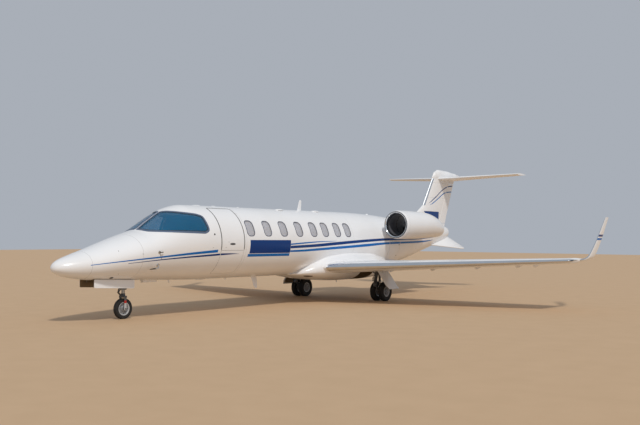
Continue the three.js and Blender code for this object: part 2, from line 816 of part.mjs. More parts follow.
function ventralFin() {
  const { rootFront, rootRear, thickness, buried, frontCut, rearReach, tipHalf, tipCut } = VENTRAL;
  const [front, rear, tip] = [rootFront, rootRear, VENTRAL.tip]
    .map(([x, station, z]) => new THREE.Vector3(x, yAt(station), z));
  const along = rear.clone().sub(front).normalize();
  const normal = along.clone().cross(tip.clone().sub(front)).normalize();
  const out = normal.clone().cross(along);
  const flat = (point) => [point.clone().sub(front).dot(along), point.clone().sub(front).dot(out)];
  const [rearU] = flat(rear);
  const [tipU, tipV] = flat(tip);
  const outline = [
    [frontCut, -buried],
    [rearU + rearReach, -buried],
    [tipU + tipHalf, tipV - tipCut],
    [tipU - tipHalf, tipV],
    [0, 0],
  ];
  const geometry = new THREE.ExtrudeGeometry(roundedShape(outline, 0), {
    depth: thickness, bevelEnabled: false,
  });
  geometry.translate(0, 0, -thickness / 2);
  geometry.applyMatrix4(new THREE.Matrix4().makeBasis(along, out, normal));
  geometry.translate(...front.toArray());
  return solidFromGeometry(geometry).subtract(wholeFuselage);
}

// Engines
const ENGINE = { x: 1350, z: 2210, front: 10900, joint: 11050 };
const COWL_SIDES = 20;

// Cowl: radius, station, along the outside and back through the duct
const COWL_OUTSIDE = [
  [430, ENGINE.joint], [434, 11350], [424, 12000], [398, 12600], [336, 13090], [265, 13400],
  [224, 13510],
];
const COWL_INSIDE = [
  [204, 13510], [228, 13400], [255, 13090], [330, 12400], [345, 11600], [325, 11050],
];
const LIP = [[430, 11050], [421, 10950], [398, 10908], [375, 10900], [350, 10912], [325, 11050]];
const CORE = [
  [0, 11660], [250, 11660], [254, 12300], [206, 12860], [166, 13140], [60, 13345], [0, 13440],
];
const FAN = [[0, 11330], [70, 11380], [110, 11480], [330, 11490], [330, 11590], [0, 11590]];

// Engine profiles are turned about the engine's own axis, with y measured from the inlet's front.
const engineProfile = (rows) => rows.map(([radius, station]) => [radius, station - ENGINE.front]);
const closedProfile = (rows) => [...rows, rows[0]];

// The engine's rear bends down: its axis drops with the square of the way between two stations.
const DROOP = { from: 12500, to: 13510, depth: 112 };

function drooped(geometry) {
  const position = geometry.getAttribute('position');
  for (let i = 0; i < position.count; i++) {
    const share = (position.getY(i) + ENGINE.front - DROOP.from) / (DROOP.to - DROOP.from);
    position.setZ(i, position.getZ(i) - DROOP.depth * Math.max(0, share) ** 2);
  }
  return geometry;
}

function nacelle() {
  const rows = [...COWL_OUTSIDE.slice(1), ...COWL_INSIDE.slice(0, -1)];
  const joint = [[325, ENGINE.joint + GAP], [430, ENGINE.joint + GAP]];
  return turnedAboutY(closedProfile(engineProfile([...joint, ...rows])), COWL_SIDES, drooped);
}

const inletLip = () => turnedAboutY(closedProfile(engineProfile(LIP)));
const engineCore = () => turnedAboutY(engineProfile(CORE), CORE_SIDES, drooped);
const fan = () => turnedAboutY(engineProfile(FAN));

// Pylon rows: x, leading edge station, chord, height, thickness ratio
const PYLON = [
  [350, 11290, 2150, 2200, 0.075],
  [1100, 11410, 1900, 2200, 0.075],
];

function pylon() {
  const skin = COWL_OUTSIDE.map(([radius, station]) => [radius + GAP, station]);
  const rows = [[0, skin[0][1]], ...skin, [0, skin.at(-1)[1]]];
  const plug = turnedAboutY(engineProfile(rows), COWL_SIDES, drooped);
  const geometry = geometryFromSolid(plug);
  geometry.translate(ENGINE.x, yAt(ENGINE.front), ENGINE.z);
  return cut(spanwise(PYLON), [wholeFuselage, solidFromGeometry(geometry)]);
}

// Landing gear
const FLAT_SHARE = Math.cos(Math.PI / WHEEL_SIDES);
const SLEEVE_RADIUS = 38;
const NOSE_WHEEL = { station: 1807, radius: 228.6, halfWidth: 56, rim: 118 };
const NOSE_HUB = { radius: 45, halfLength: 58, bore: 18 };
const MAIN_WHEEL = { station: 9949, x: 1456, radius: 279.4, halfWidth: 73, rim: 140, spacing: 280 };
const MAIN_HUB = { radius: 60, reach: 66, buried: 20 };
const NOSE_AXLE_Z = NOSE_WHEEL.radius * FLAT_SHARE;
const MAIN_AXLE_Z = MAIN_WHEEL.radius * FLAT_SHARE;

// Shape of every wheel: widths are shares of its half width
const WHEEL_SHAPE = { treadWidth: 0.6, shoulder: 45, rimWidth: 0.84, dishDepth: 25, dishWidth: 0.45 };

// Half of a tyre and hub outline, from the tread to the hub, as radius and distance from its middle
function wheelRows({ radius, halfWidth, rim }) {
  const { treadWidth, shoulder, rimWidth, dishDepth, dishWidth } = WHEEL_SHAPE;
  return [
    [radius, treadWidth * halfWidth],
    [radius - shoulder, halfWidth],
    [rim, rimWidth * halfWidth],
    [rim - dishDepth, dishWidth * halfWidth],
  ];
}

function noseWheel() {
  const { radius: hubRadius, halfLength, bore } = NOSE_HUB;
  const half = [...wheelRows(NOSE_WHEEL), [hubRadius, halfLength], [bore, halfLength]];
  const other = half.map(([radius, x]) => [radius, -x]).reverse();
  return turnedAboutX(closedProfile([...half, ...other]));
}

// Two wheels on the sleeve that joins them.
function mainWheels() {
  const rows = wheelRows(MAIN_WHEEL);
  const centre = MAIN_WHEEL.spacing / 2;
  const half = [
    [SLEEVE_RADIUS, 0],
    [SLEEVE_RADIUS, centre - MAIN_HUB.buried],
    ...rows.map(([radius, x]) => [radius, centre - x]).reverse(),
    ...rows.map(([radius, x]) => [radius, centre + x]),
    [MAIN_HUB.radius, centre + MAIN_HUB.reach],
    [0, centre + MAIN_HUB.reach],
  ];
  const other = half.slice(1).map(([radius, x]) => [radius, -x]).reverse();
  return turnedAboutX([...other, ...half]);
}

const STEER_Z = 640;
const noseY = yAt(NOSE_WHEEL.station);
const [, , NOSE_BAY_TOP] = NOSE_BAY[1];

// Bars of the fixed nose strut: each end as distance out, distance aft of the axle and height
const NOSE_STRUT = {
  cylinder: { from: [0, 0, STEER_Z], to: [0, 0, NOSE_BAY_TOP - GAP], radius: 56 },
  collar: { from: [0, 0, STEER_Z], to: [0, 0, STEER_Z + 90], radius: 74 },
  trunnion: { from: [-196, 0, 1130], to: [196, 0, 1130], radius: 30 },
  leftBrace: { from: [60, -20, 800], to: [60, -560, 1225], radius: 16 },
  rightBrace: { from: [-60, -20, 800], to: [-60, -560, 1225], radius: 16 },
  bracePin: { from: [-80, -10, 800], to: [80, -10, 800], radius: 20 },
};

// Bars of a trailing link leg, placed the same way: the post from the wing, the link back to the
// axle and the shock absorber between them
const MAIN_LEG = {
  post: { from: [0, -190, 965], to: [0, -300, 470], radius: 48 },
  trunnion: { from: [0, -309, 925], to: [0, -10, 925], radius: 40 },
  linkPivot: { from: [-55, -300, 470], to: [55, -300, 470], radius: 46 },
  trailingLink: { from: [0, -300, 470], to: [0, -30, MAIN_AXLE_Z + 12], radius: 42 },
  axleBoss: { from: [-55, 0, MAIN_AXLE_Z], to: [55, 0, MAIN_AXLE_Z], radius: 68 },
  shockAbsorber: { from: [0, -50, MAIN_AXLE_Z + 60], to: [0, -90, 930], radius: 36 },
};

function barsAt(x, y, bars) {
  const place = ([out, aft, z]) => [x + out, y + aft, z];
  return join(Object.values(bars).map(({ from, to, radius }) => rod(place(from), place(to), radius)));
}

const noseGearStrut = () => barsAt(0, noseY, NOSE_STRUT);

const FORK = {
  stem: { radius: 40, bottom: 470 },
  crown: { halfWidth: 94, halfDepth: 45, bottom: 466, top: 508 },
  leg: { x: 83, halfWidth: 11, halfDepth: 32, belowAxle: 34, top: 500 },
  axle: { halfLength: 92, radius: 16, sides: 12 },
};

function noseGearFork() {
  const { stem, crown, leg, axle } = FORK;
  const legAt = (x) => box(
    [x - leg.halfWidth, noseY - leg.halfDepth, NOSE_AXLE_Z - leg.belowAxle],
    [x + leg.halfWidth, noseY + leg.halfDepth, leg.top],
  );
  return join([
    rod([0, noseY, stem.bottom], [0, noseY, STEER_Z - MOVING_GAP], stem.radius),
    box(
      [-crown.halfWidth, noseY - crown.halfDepth, crown.bottom],
      [crown.halfWidth, noseY + crown.halfDepth, crown.top],
    ),
    legAt(-leg.x),
    legAt(leg.x),
    rod(
      [-axle.halfLength, noseY, NOSE_AXLE_Z],
      [axle.halfLength, noseY, NOSE_AXLE_Z],
      axle.radius,
      axle.radius,
      axle.sides,
    ),
  ]);
}

// Nose gear door: an upright plate beside the bay, seen from the side as station and height
const NOSE_DOOR = {
  x: 232,
  thickness: 22,
  outline: [[850, 724], [1915, 672], [1915, 835], [850, 860]],
};

function noseGearDoor() {
  const { x, thickness, outline } = NOSE_DOOR;
  return prism(sideOutline(outline), 'x', x, x + thickness).subtract(wholeFuselage);
}

function mainGearLeg() {
  const { x, station } = MAIN_WHEEL;
  const reach = MAIN_LEG.axleBoss.to[0] + FIT_GAP;
  const ends = [x - reach, x + reach].map((end) => [end, yAt(station), MAIN_AXLE_Z]);
  const bore = SLEEVE_RADIUS + PIN_GAP;
  return barsAt(x, yAt(station), MAIN_LEG).subtract(rod(...ends, bore, bore, WHEEL_SIDES));
}

// Leg door: a plate that hangs outboard of the wheels, splayed outwards, with a slanted front
const LEG_DOOR = {
  topX: 1588,
  topZ: 885,
  bottomX: 1950,
  bottomZ: 365,
  thickness: 24,
  outline: [[9560, 900], [9560, 480], [9640, 365], [10120, 365], [10080, 900]],
  bracket: { from: [1514, 9745, 830], to: [1648, 9745, 830], radius: 18 },
};

function mainGearDoor() {
  const { topX, topZ, bottomX, bottomZ, thickness, outline, bracket } = LEG_DOOR;
  const stations = outline.map(([station]) => station);
  const plate = prism([
    [topZ, topX],
    [bottomZ, bottomX],
    [bottomZ, bottomX + thickness],
    [topZ, topX + thickness],
  ], 'y', yAt(Math.min(...stations)), yAt(Math.max(...stations)));
  const side = prism(sideOutline(outline), 'x', topX - thickness, bottomX + 2 * thickness);
  const [from, to] = [bracket.from, bracket.to].map(([x, station, z]) => [x, yAt(station), z]);
  return plate.intersect(side).add(rod(from, to, bracket.radius));
}

// Finishes
function finish(color, roughness, metalness) {
  return new THREE.MeshStandardMaterial({ color, roughness, metalness });
}

const FINISHES = {
  white: () => finish(0xf2f2ee, 0.25, 0),
  metal: () => finish(0xb9bec4, 0.3, 1),
  polished: () => finish(0xd5d7da, 0.15, 1),
  glass: () => finish(0x39424c, 0.08, 0),
  shade: () => finish(0x8f9294, 0.5, 0),
  rubber: () => finish(0x1d1d1f, 0.85, 0),
  titanium: () => finish(0x5a5752, 0.5, 1),
  trim: () => finish(0x3b3c40, 0.7, 0),
  leather: () => finish(0xb8a994, 0.6, 0),
  carpet: () => finish(0x6d675f, 0.95, 0),
};

const jet = new THREE.Group();
jet.name = 'business_jet';

function addPiece(name, solid, material, parent = jet, mirrored = false) {
  const mesh = new THREE.Mesh(geometryFromSolid(solid, mirrored), FINISHES[material]());
  mesh.name = name;
  parent.add(mesh);
  return mesh;
}

const SINGLE_PIECES = [
  ['radome', radome, 'white'],
  ['nose_section', noseSection, 'white'],
  ['cockpit_shell', cockpitShell, 'white'],
  ['entry_frame_shell', entryFrameShell, 'white'],
  ['cabin_shell', cabinShell, 'white'],
  ['aft_fuselage', aftFuselage, 'white'],
  ['tail_cone', () => hullShell(HULL.tail_cone), 'white'],
  ['entry_door_upper', () => entryDoor(UPPER_DOOR_ANGLES), 'white'],
  ['entry_door_lower', () => entryDoor(LOWER_DOOR_ANGLES), 'white'],
  ['baggage_door', baggageDoor, 'white'],
  ['cabin_floor', cabinFloor, 'carpet'],
  ['instrument_panel', instrumentPanel, 'trim'],
  ['wing_fairing', wingFairing, 'white'],
  ['fin', fin, 'white'],
  ['rudder', rudder, 'white'],
  ['stabiliser', stabiliser, 'white'],
  ['nose_gear_strut', noseGearStrut, 'metal'],
  ['nose_gear_fork', noseGearFork, 'metal'],
];
for (const [name, build, material] of SINGLE_PIECES) addPiece(name, build(), material);

const PAIRED_PIECES = [
  ['windshield', windshield, 'glass'],
  ['cabin_windows', windowBelt, 'shade'],
  ['cabin_seats', cabinSeats, 'leather'],
  ['wing', wing, 'white'],
  ['winglet', winglet, 'white'],
  ['aileron', aileron, 'white'],
  ['flap', flap, 'white'],
  ['spoiler', spoiler, 'white'],
  ['elevator', elevator, 'white'],
  ['ventral_fin', ventralFin, 'white'],
  ['pylon', pylon, 'white'],
  ['nose_gear_door', noseGearDoor, 'white'],
  ['main_gear_leg', mainGearLeg, 'metal'],
  ['main_gear_door', mainGearDoor, 'white'],
];
for (const [name, build, material] of PAIRED_PIECES) {
  const solid = build();
  for (const side of SIDES) addPiece(`${side.name}_${name}`, solid, material, jet, side.mirrored);
}

const cockpitSeatSolid = cockpitSeat();
addPiece('pilot_seat', cockpitSeatSolid, 'leather');
addPiece('copilot_seat', cockpitSeatSolid, 'leather', jet, true);

const ENGINE_PIECES = [
  ['nacelle', nacelle(), 'white'],
  ['inlet_lip', inletLip(), 'polished'],
  ['engine_core', engineCore(), 'titanium'],
  ['fan', fan(), 'titanium'],
];
for (const side of SIDES) {
  const engine = new THREE.Group();
  engine.position.set(side.mirrored ? -ENGINE.x : ENGINE.x, yAt(ENGINE.front), ENGINE.z);
  jet.add(engine);
  for (const [name, solid, material] of ENGINE_PIECES) {
    addPiece(`${side.name}_${name}`, solid, material, engine, side.mirrored);
  }
}

const wheel = addPiece('nose_wheel', noseWheel(), 'rubber');
wheel.position.set(0, noseY, NOSE_AXLE_Z);

const mainWheelSolid = mainWheels();
for (const side of SIDES) {
  const wheels = addPiece(`${side.name}_main_wheels`, mainWheelSolid, 'rubber', jet, side.mirrored);
  wheels.position.set(side.mirrored ? -MAIN_WHEEL.x : MAIN_WHEEL.x, yAt(MAIN_WHEEL.station), MAIN_AXLE_Z);
}

export default jet;
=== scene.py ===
# %% [markdown]
# # A light business jet, parked on its gear
#
# A business jet is a pressurised tube with a wing below it, two fan engines on short pylons at the
# back and a T-tail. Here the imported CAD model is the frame: it says where every part sits and how
# it turns. This script lays smooth, finished surfaces over that frame, part by part.
#
# The numbers in the tables are millimetres, as on a drawing, and `MM` turns them into Blender's
# metres. A station is a distance aft of the nose tip. The nose points along -Y, the left wing
# along +X, and the ground is z = 0.

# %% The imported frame
import math

import bmesh
import bpy
import numpy as np
from mathutils import Matrix, Vector
from mathutils.geometry import delaunay_2d_cdt


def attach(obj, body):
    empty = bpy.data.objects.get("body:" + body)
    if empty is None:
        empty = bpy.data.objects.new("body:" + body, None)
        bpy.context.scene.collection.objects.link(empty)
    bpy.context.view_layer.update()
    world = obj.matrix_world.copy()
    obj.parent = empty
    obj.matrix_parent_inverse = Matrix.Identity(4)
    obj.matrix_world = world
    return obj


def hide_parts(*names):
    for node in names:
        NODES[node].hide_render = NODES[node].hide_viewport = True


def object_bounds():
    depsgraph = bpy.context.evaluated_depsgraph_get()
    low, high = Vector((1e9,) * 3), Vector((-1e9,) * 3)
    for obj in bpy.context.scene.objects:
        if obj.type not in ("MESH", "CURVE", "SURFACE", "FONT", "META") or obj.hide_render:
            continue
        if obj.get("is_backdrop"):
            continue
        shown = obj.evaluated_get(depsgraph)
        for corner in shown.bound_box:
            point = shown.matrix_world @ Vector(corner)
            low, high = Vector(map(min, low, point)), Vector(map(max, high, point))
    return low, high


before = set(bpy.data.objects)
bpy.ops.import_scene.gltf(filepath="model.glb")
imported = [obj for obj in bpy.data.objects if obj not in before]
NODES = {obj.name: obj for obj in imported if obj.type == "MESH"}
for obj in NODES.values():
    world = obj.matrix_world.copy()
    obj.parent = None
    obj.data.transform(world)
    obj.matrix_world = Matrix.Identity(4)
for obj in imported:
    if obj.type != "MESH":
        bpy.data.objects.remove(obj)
CAD_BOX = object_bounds()
MM = 0.001
NOSE_Y = CAD_BOX[0].y

# %% [markdown]
# ## The camera and the studio
#
# The photograph was taken from standing height, ahead of the left wing tip, with a short
# telephoto view. Its place was worked out from the gear, the nose, the winglet and the tail. A
# camera could also be aimed by eye, but a measured one lets every piece be compared with the
# photograph to a pixel.
#
# The studio is a pale floor, a pale dome and two soft lamps. The low warm floor matters:
# a gloss white belly shows little more than the ground under it.

# %% Camera
CAMERA_PLACE = (14.22, -18.57, 1.81)
CAMERA_AZIMUTH = math.radians(37.21)
CAMERA_PITCH = math.radians(1.77)
CAMERA_ROLL = math.radians(0.36)
FOCAL_PIXELS = 810.5
IMAGE_WIDTH = 640
SENSOR_WIDTH = 36.0

camera = bpy.data.objects.new("camera", bpy.data.cameras.new("camera"))
bpy.context.scene.collection.objects.link(camera)
camera.data.sensor_width = SENSOR_WIDTH
camera.data.lens = FOCAL_PIXELS / IMAGE_WIDTH * SENSOR_WIDTH
camera.data.clip_end = 400.0
camera.matrix_world = (
    Matrix.Translation(CAMERA_PLACE)
    @ Matrix.Rotation(CAMERA_AZIMUTH, 4, "Z")
    @ Matrix.Rotation(math.pi / 2 + CAMERA_PITCH, 4, "X")
    @ Matrix.Rotation(CAMERA_ROLL, 4, "Z")
)
bpy.context.scene.camera = camera
print("camera lens:", round(camera.data.lens, 1), "mm")

# %% [markdown]
# ## Shapes from arrays
#
# A skin, a tyre or a blade is a function of two parameters. numpy works the function out on a
# whole grid at once, and the grid's neighbours become four-sided faces. Moving every vertex by
# hand, or looping over them, would give the same mesh far more slowly. A `Shape` holds the points
# and faces until they are put into a mesh, so shapes can be added, moved and mirrored freely.

# %% Grids, lofts and turned shapes
class Shape:
    """Points (n, 3) in metres, with a normal at each where a formula gives one, and groups of
    faces: an array of corner numbers (faces, corners) and the number of the finish they take."""

    def __init__(self, points, groups=(), normals=None):
        self.points = np.asarray(points, float).reshape(-1, 3)
        self.groups = [(np.asarray(corners, int), finish) for corners, finish in groups]
        self.normals = np.zeros_like(self.points) if normals is None else normals

    def __add__(self, other):
        later = [(corners + len(self.points), finish) for corners, finish in other.groups]
        return Shape(np.vstack([self.points, other.points]), self.groups + later,
                     np.vstack([self.normals, other.normals]))

    def moved(self, x=0.0, y=0.0, z=0.0):
        """The shape shifted by millimetres."""
        return Shape(self.points + np.array([x, y, z]) * MM, self.groups, self.normals)

    def turned_by(self, matrix):
        """The shape turned, or stretched alike all round, by a 3 x 3 matrix."""
        matrix = np.array(matrix)
        return Shape(self.points @ matrix.T, self.groups, self.normals @ matrix.T)

    def mirrored(self):
        return self.turned_by(np.diag([-1.0, 1.0, 1.0]))


def joined(shapes):
    """All the shapes as one."""
    shapes = list(shapes)
    whole = shapes[0]
    for shape in shapes[1:]:
        whole = whole + shape
    return whole


def grid_faces(rows, columns, wrap_rows=False, wrap_columns=False):
    """Quads between neighbours of a grid; a wrapped direction closes on itself."""
    row, column = np.meshgrid(
        np.arange(rows if wrap_rows else rows - 1),
        np.arange(columns if wrap_columns else columns - 1),
        indexing="ij",
    )
    next_row, next_column = (row + 1) % rows, (column + 1) % columns
    corners = [
        row * columns + column, next_row * columns + column,
        next_row * columns + next_column, row * columns + next_column,
    ]
    return np.stack(corners, axis=-1).reshape(-1, 4)


def surface(points, wrap_rows=False, wrap_columns=False, finish=0):
    """A skin over a grid of points (rows, columns, 3)."""
    points = np.asarray(points, float)
    rows, columns = points.shape[:2]
    return Shape(points, [(grid_faces(rows, columns, wrap_rows, wrap_columns), finish)])


def loft(rings, finish=0):
    """A body through closed rings of points (rings, points, 3), with a flat face at each end."""
    rings = np.asarray(rings, float)
    count, sides = rings.shape[:2]
    body = surface(rings, wrap_columns=True, finish=finish)
    ends = np.arange(sides)
    body.groups.append((np.stack([ends, ends + (count - 1) * sides]), finish))
    return body


print("a 3 by 4 grid has", len(grid_faces(3, 4)), "quads")

# %% Turned and drawn out shapes
def unit(vectors):
    """The same directions with length 1."""
    return vectors / np.maximum(np.linalg.norm(vectors, axis=-1, keepdims=True), 1e-12)


def circle(sides):
    """The angles of points spaced evenly round a circle."""
    return np.linspace(0, 2 * math.pi, sides, endpoint=False)


def flat_face(ring, finish=0):
    """One flat face with these corners."""
    return Shape(ring, [([range(len(ring))], finish)])


def turned(profile, sides=48, finish=0, closed=False):
    """A body turned about the Y axis: each (radius, y) pair of the profile, in mm, is carried
    round a circle. A closed profile makes a ring. finish is one number, or one for each step of
    the profile."""
    profile = np.asarray(profile, float) * MM
    angle = circle(sides)[:, None]
    radius, along = profile.T
    points = np.stack(np.broadcast_arrays(
        radius * np.cos(angle), along, radius * np.sin(angle)), axis=-1)
    body = surface(points, wrap_rows=True, wrap_columns=closed)
    quads = body.groups[0][0]
    kinds = np.tile(np.broadcast_to(finish, len(quads) // sides), sides)
    body.groups = [(quads[kinds == kind], int(kind)) for kind in np.unique(kinds)]
    return body


def pipe(route, radii, sides=8, finish=0, aside=(0.31, 0.22, 0.93)):
    """A round hose or bar along a route of points in mm, with one radius or one for each point:
    circles set square to the route. `aside` is a direction that the route never takes."""
    route = np.asarray(route, float) * MM
    radii = np.broadcast_to(radii, len(route))[:, None, None] * MM
    along = unit(np.gradient(route, axis=0))
    side = unit(np.cross(along, aside))
    angle = circle(sides)[:, None]
    across = np.cos(angle) * side[:, None] + np.sin(angle) * np.cross(along, side)[:, None]
    return loft(route[:, None] + radii * across, finish)


def clear_axis(route, axis):
    """A main axis, or X where the route sets off nearly along it."""
    first = unit(np.subtract(route[1], route[0]))
    return np.eye(3)[0 if abs(first[axis]) > 0.8 else axis]


def rod(start, end, radius, sides=16, finish=0):
    """A plain round bar between two points in mm."""
    return pipe([start, end], radius, sides, finish, clear_axis([start, end], 2))


print("a 16-sided rod has", len(rod((0, 0, 0), (0, 0, 9), 1).points), "points")

# %% Plates and blocks
def upward(base=0.0):
    """Puts a flat outline of (x, y) points at a height above a base."""
    return lambda outline, up: np.column_stack([outline, np.full(len(outline), base + up)])


def sideways(outline, x):
    """Puts a flat outline of (y, z) points at an x."""
    return np.column_stack([np.full(len(outline), x), outline])


def stacked(outline, layers, place, finish=0):
    """A plate with shaped edges. Each layer is how far out it lies and how much smaller than the
    outline it is, in mm; place turns the flat ring and its distance out into points."""
    rings = [place(grown(outline, -inset), out) for out, inset in layers]
    return loft(np.array(rings) * MM, finish)


def block(low, high):
    """A box between two corners in mm."""
    (x0, y0, z0), (x1, y1, z1) = low, high
    foot = np.array([(x0, y0), (x1, y0), (x1, y1), (x0, y1)], float)
    return loft(np.array([upward()(foot, z) for z in (z0, z1)]) * MM)


def at(station):
    """The y, in mm, of a station."""
    return station + NOSE_Y / MM


print("station 0 is at y =", at(0), "mm")

# %% [markdown]
# ## Putting a shape into the scene
#
# `make` turns a shape into a mesh object that rides a CAD body. Points that meet are merged, so
# light runs smoothly from patch to patch, and edges sharper than an angle stay crisp. Where a
# shape knows its true normals they are used as they are: a shader given them shows a smooth skin
# even where an opening has left thin triangles.

# %% Making pieces
MERGE = 0.00003  # points closer than this, in metres, are one


def merged_faces(shape):
    """The shape's points with doubles merged, and its faces as (corners, corners before merging,
    finish). A quad with two corners in one place becomes a triangle, as at a pole."""
    cell = np.round(shape.points / MERGE + 0.137)
    _, keep, new = np.unique(cell, axis=0, return_index=True, return_inverse=True)
    new = new.ravel()
    faces = []
    for before, finish in shape.groups:
        corners = new[before]
        same = corners == np.roll(corners, -1, axis=1)
        faces.append((corners[~same.any(1)], before[~same.any(1)], finish))
        if corners.shape[1] == 4:
            folded = same.sum(1) == 1
            left = ~same[folded]
            faces.append((corners[folded][left].reshape(-1, 3), before[folded][left].reshape(-1, 3),
                          finish))
    return shape.points[keep], faces


def read(collection, key, width, kind=float):
    """One property of every item of a mesh collection, as an array of rows."""
    values = np.empty(len(collection) * width, kind)
    collection.foreach_get(key, values)
    return values.reshape(-1, width)


def give_normals(mesh, faces, normals):
    """Sets each face corner's normal to the formula's, where there is one that agrees with the
    face. Corners are matched by face and point, because turning a face outwards reorders them."""
    sides = np.concatenate([np.full(len(corners), corners.shape[1]) for corners, _, _ in faces])
    old_face = np.repeat(np.arange(len(sides)), sides)
    old_point = np.concatenate([corners.ravel() for corners, _, _ in faces])
    wanted = normals[np.concatenate([unmerged.ravel() for _, unmerged, _ in faces])]
    totals = read(mesh.polygons, "loop_total", 1, np.int32).ravel()
    face = np.repeat(np.arange(len(totals)), totals)
    point = read(mesh.loops, "vertex_index", 1, np.int32).ravel()
    matched = np.empty_like(wanted)
    matched[np.lexsort((point, face))] = wanted[np.lexsort((old_point, old_face))]
    agree = (read(mesh.polygons, "normal", 3)[face] * matched).sum(1)
    use = np.abs(agree) > 0.5
    result = read(mesh.corner_normals, "vector", 3)
    result[use] = matched[use] * np.sign(agree[use])[:, None]
    mesh.normals_split_custom_set(result.tolist())


print("points closer than", MERGE / MM, "mm become one")

# %% Naming, riding and mirroring pieces
def make(name, shape, materials, body="airframe", slot=None, sharp=32.0, bevel=0.0, smooth=0):
    """Puts a shape into the scene as a named piece and returns its object. A piece called like a
    CAD node replaces it, and gets a name of its own."""
    replaced = name if name in NODES else None
    name = f"{name}_finished" if replaced else name
    points, faces = merged_faces(shape)
    mesh = bpy.data.meshes.new(name)
    mesh.from_pydata(points.tolist(), [], [face for c, _, _ in faces for face in c.tolist()])
    finishes = np.concatenate([np.full(len(c), finish) for c, _, finish in faces])
    mesh.polygons.foreach_set("material_index", finishes.astype(np.int32))
    work = bmesh.new()
    work.from_mesh(mesh)
    bmesh.ops.recalc_face_normals(work, faces=work.faces)
    loose = [vertex for vertex in work.verts if not vertex.link_faces]
    bmesh.ops.delete(work, geom=loose, context="VERTS")
    work.to_mesh(mesh)
    work.free()
    mesh.polygons.foreach_set("use_smooth", np.ones(len(mesh.polygons), bool))
    mesh.set_sharp_from_angle(angle=math.radians(sharp))
    if np.abs(shape.normals).any():
        give_normals(mesh, faces, shape.normals)
    for material in materials:
        mesh.materials.append(material)
    piece = bpy.data.objects.new(name, mesh)
    bpy.context.scene.collection.objects.link(piece)
    if bevel:
        edge = piece.modifiers.new("edge", "BEVEL")
        edge.width = bevel * MM
        edge.segments = 2
        edge.limit_method = "ANGLE"
        edge.angle_limit = math.radians(40)
        edge.harden_normals = True
    if smooth:
        finer = piece.modifiers.new("smooth", "SUBSURF")
        finer.levels = finer.render_levels = smooth
    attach(piece, body)
    if replaced:
        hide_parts(replaced)
    return piece


def make_pair(name, shape, materials, body="airframe", **options):
    """The left piece and its mirror image. {} in a body's name stands for the side."""
    for side, half in (("left", shape), ("right", shape.mirrored())):
        make(f"{side}_{name}", half, materials, body.format(side), **options)


def tell(what):
    print(what, "made; meshes so far:", len(bpy.data.meshes))


print("CAD nodes to replace:", len(NODES))

# %% [markdown]
# ## Materials
#
# Every finish is built from what the real one is, with one small function that adds a node. The
# aeroplane is mostly gloss white polyurethane enamel over aluminium and composite: bright, hard
# and very slightly wavy, with thin grey joints between its panels.

# %% Colour and nodes
def linear(code):
    """Linear RGBA of an sRGB hex colour."""
    values = [int(code[i:i + 2], 16) / 255 for i in (1, 3, 5)]
    rgb = [v / 12.92 if v <= 0.04045 else ((v + 0.055) / 1.055) ** 2.4 for v in values]
    return (*rgb, 1.0)


def set_sockets(material, node, values):
    """Each key names a socket, with _ for a space, or numbers it, as i0; its value is set, or
    linked where it is another node's output."""
    for key, value in values.items():
        numbered = key[0] == "i" and key[1:].isdigit()
        socket = node.inputs[int(key[1:]) if numbered else key.replace("_", " ")]
        if isinstance(value, bpy.types.NodeSocket):
            material.node_tree.links.new(value, socket)
        else:
            socket.default_value = value
    return node


def add_node(material, kind, settings=None, **values):
    """Adds a node with these settings and socket values."""
    node = material.node_tree.nodes.new(kind)
    for key, value in (settings or {}).items():
        setattr(node, key, value)
    return set_sockets(material, node, values)


def connect(material, **values):
    """Sets or links the sockets of the material's Principled surface."""
    set_sockets(material, material.node_tree.nodes["Principled BSDF"], values)


def shader(name, **values):
    """A new material with one Principled surface and these values on its own sockets."""
    material = bpy.data.materials.new(name)
    material.use_nodes = True
    connect(material, **values)
    return material


def place_of(material):
    return add_node(material, "ShaderNodeTexCoord").outputs["Object"]


def speckle(material, size_mm, detail=3.0):
    """Soft noise whose blotches are about this size, from 0 to 1."""
    return add_node(material, "ShaderNodeTexNoise", Vector=place_of(material),
                    Scale=1.0 / (size_mm * MM), Detail=detail).outputs["Fac"]


def spread(material, value, low, high, start=0.3, end=0.7):
    """Stretches a value between two limits."""
    return add_node(material, "ShaderNodeMapRange", i0=value, i1=start, i2=end,
                    i3=low, i4=high).outputs[0]


def calculated(material, operation, *values):
    """One arithmetic step between numbers or outputs."""
    inputs = {f"i{i}": value for i, value in enumerate(values)}
    return add_node(material, "ShaderNodeMath", {"operation": operation}, **inputs).outputs[0]


def blended(material, share, low, high):
    """A colour between two, by a share."""
    return add_node(material, "ShaderNodeMix", {"data_type": "RGBA"}, i0=share, i6=low,
                    i7=high).outputs[2]


def bumped(material, height, depth_mm, strength=1.0):
    """A bump normal from a height of 0 to 1 that stands for this depth."""
    return add_node(material, "ShaderNodeBump", Height=height, Strength=strength,
                    Distance=depth_mm * MM).outputs["Normal"]


print("mid grey in linear light:", round(linear("#808080")[0], 3))

# %% [markdown]
# Panel joints are drawn where the real skins meet: at frames across the fuselage and at ribs
# across the wing. A real joint is 2 to 3 mm wide; each is drawn 6 mm wide, as coarse as it needs to
# be to show. Cutting real grooves would cost many faces for something a hair deep.

# %% Paint
JOINT_WIDTH = 6.0


def finish(name, low, high, mottle, bump=None, gloss=None, detail=3.0, **inputs):
    """A finish whose colour drifts between two hex colours over blotches of this many mm. bump is
    the grain's size and depth in mm, and gloss a blotch size with the smallest and the greatest
    roughness."""
    material = shader(name, **inputs)
    connect(material, Base_Color=blended(material, speckle(material, mottle, detail), linear(low),
                                         linear(high)))
    if bump:
        connect(material, Normal=bumped(material, speckle(material, bump[0]), *bump[1:]))
    if gloss:
        connect(material, Roughness=spread(material, speckle(material, gloss[0]), *gloss[1:]))
    return material


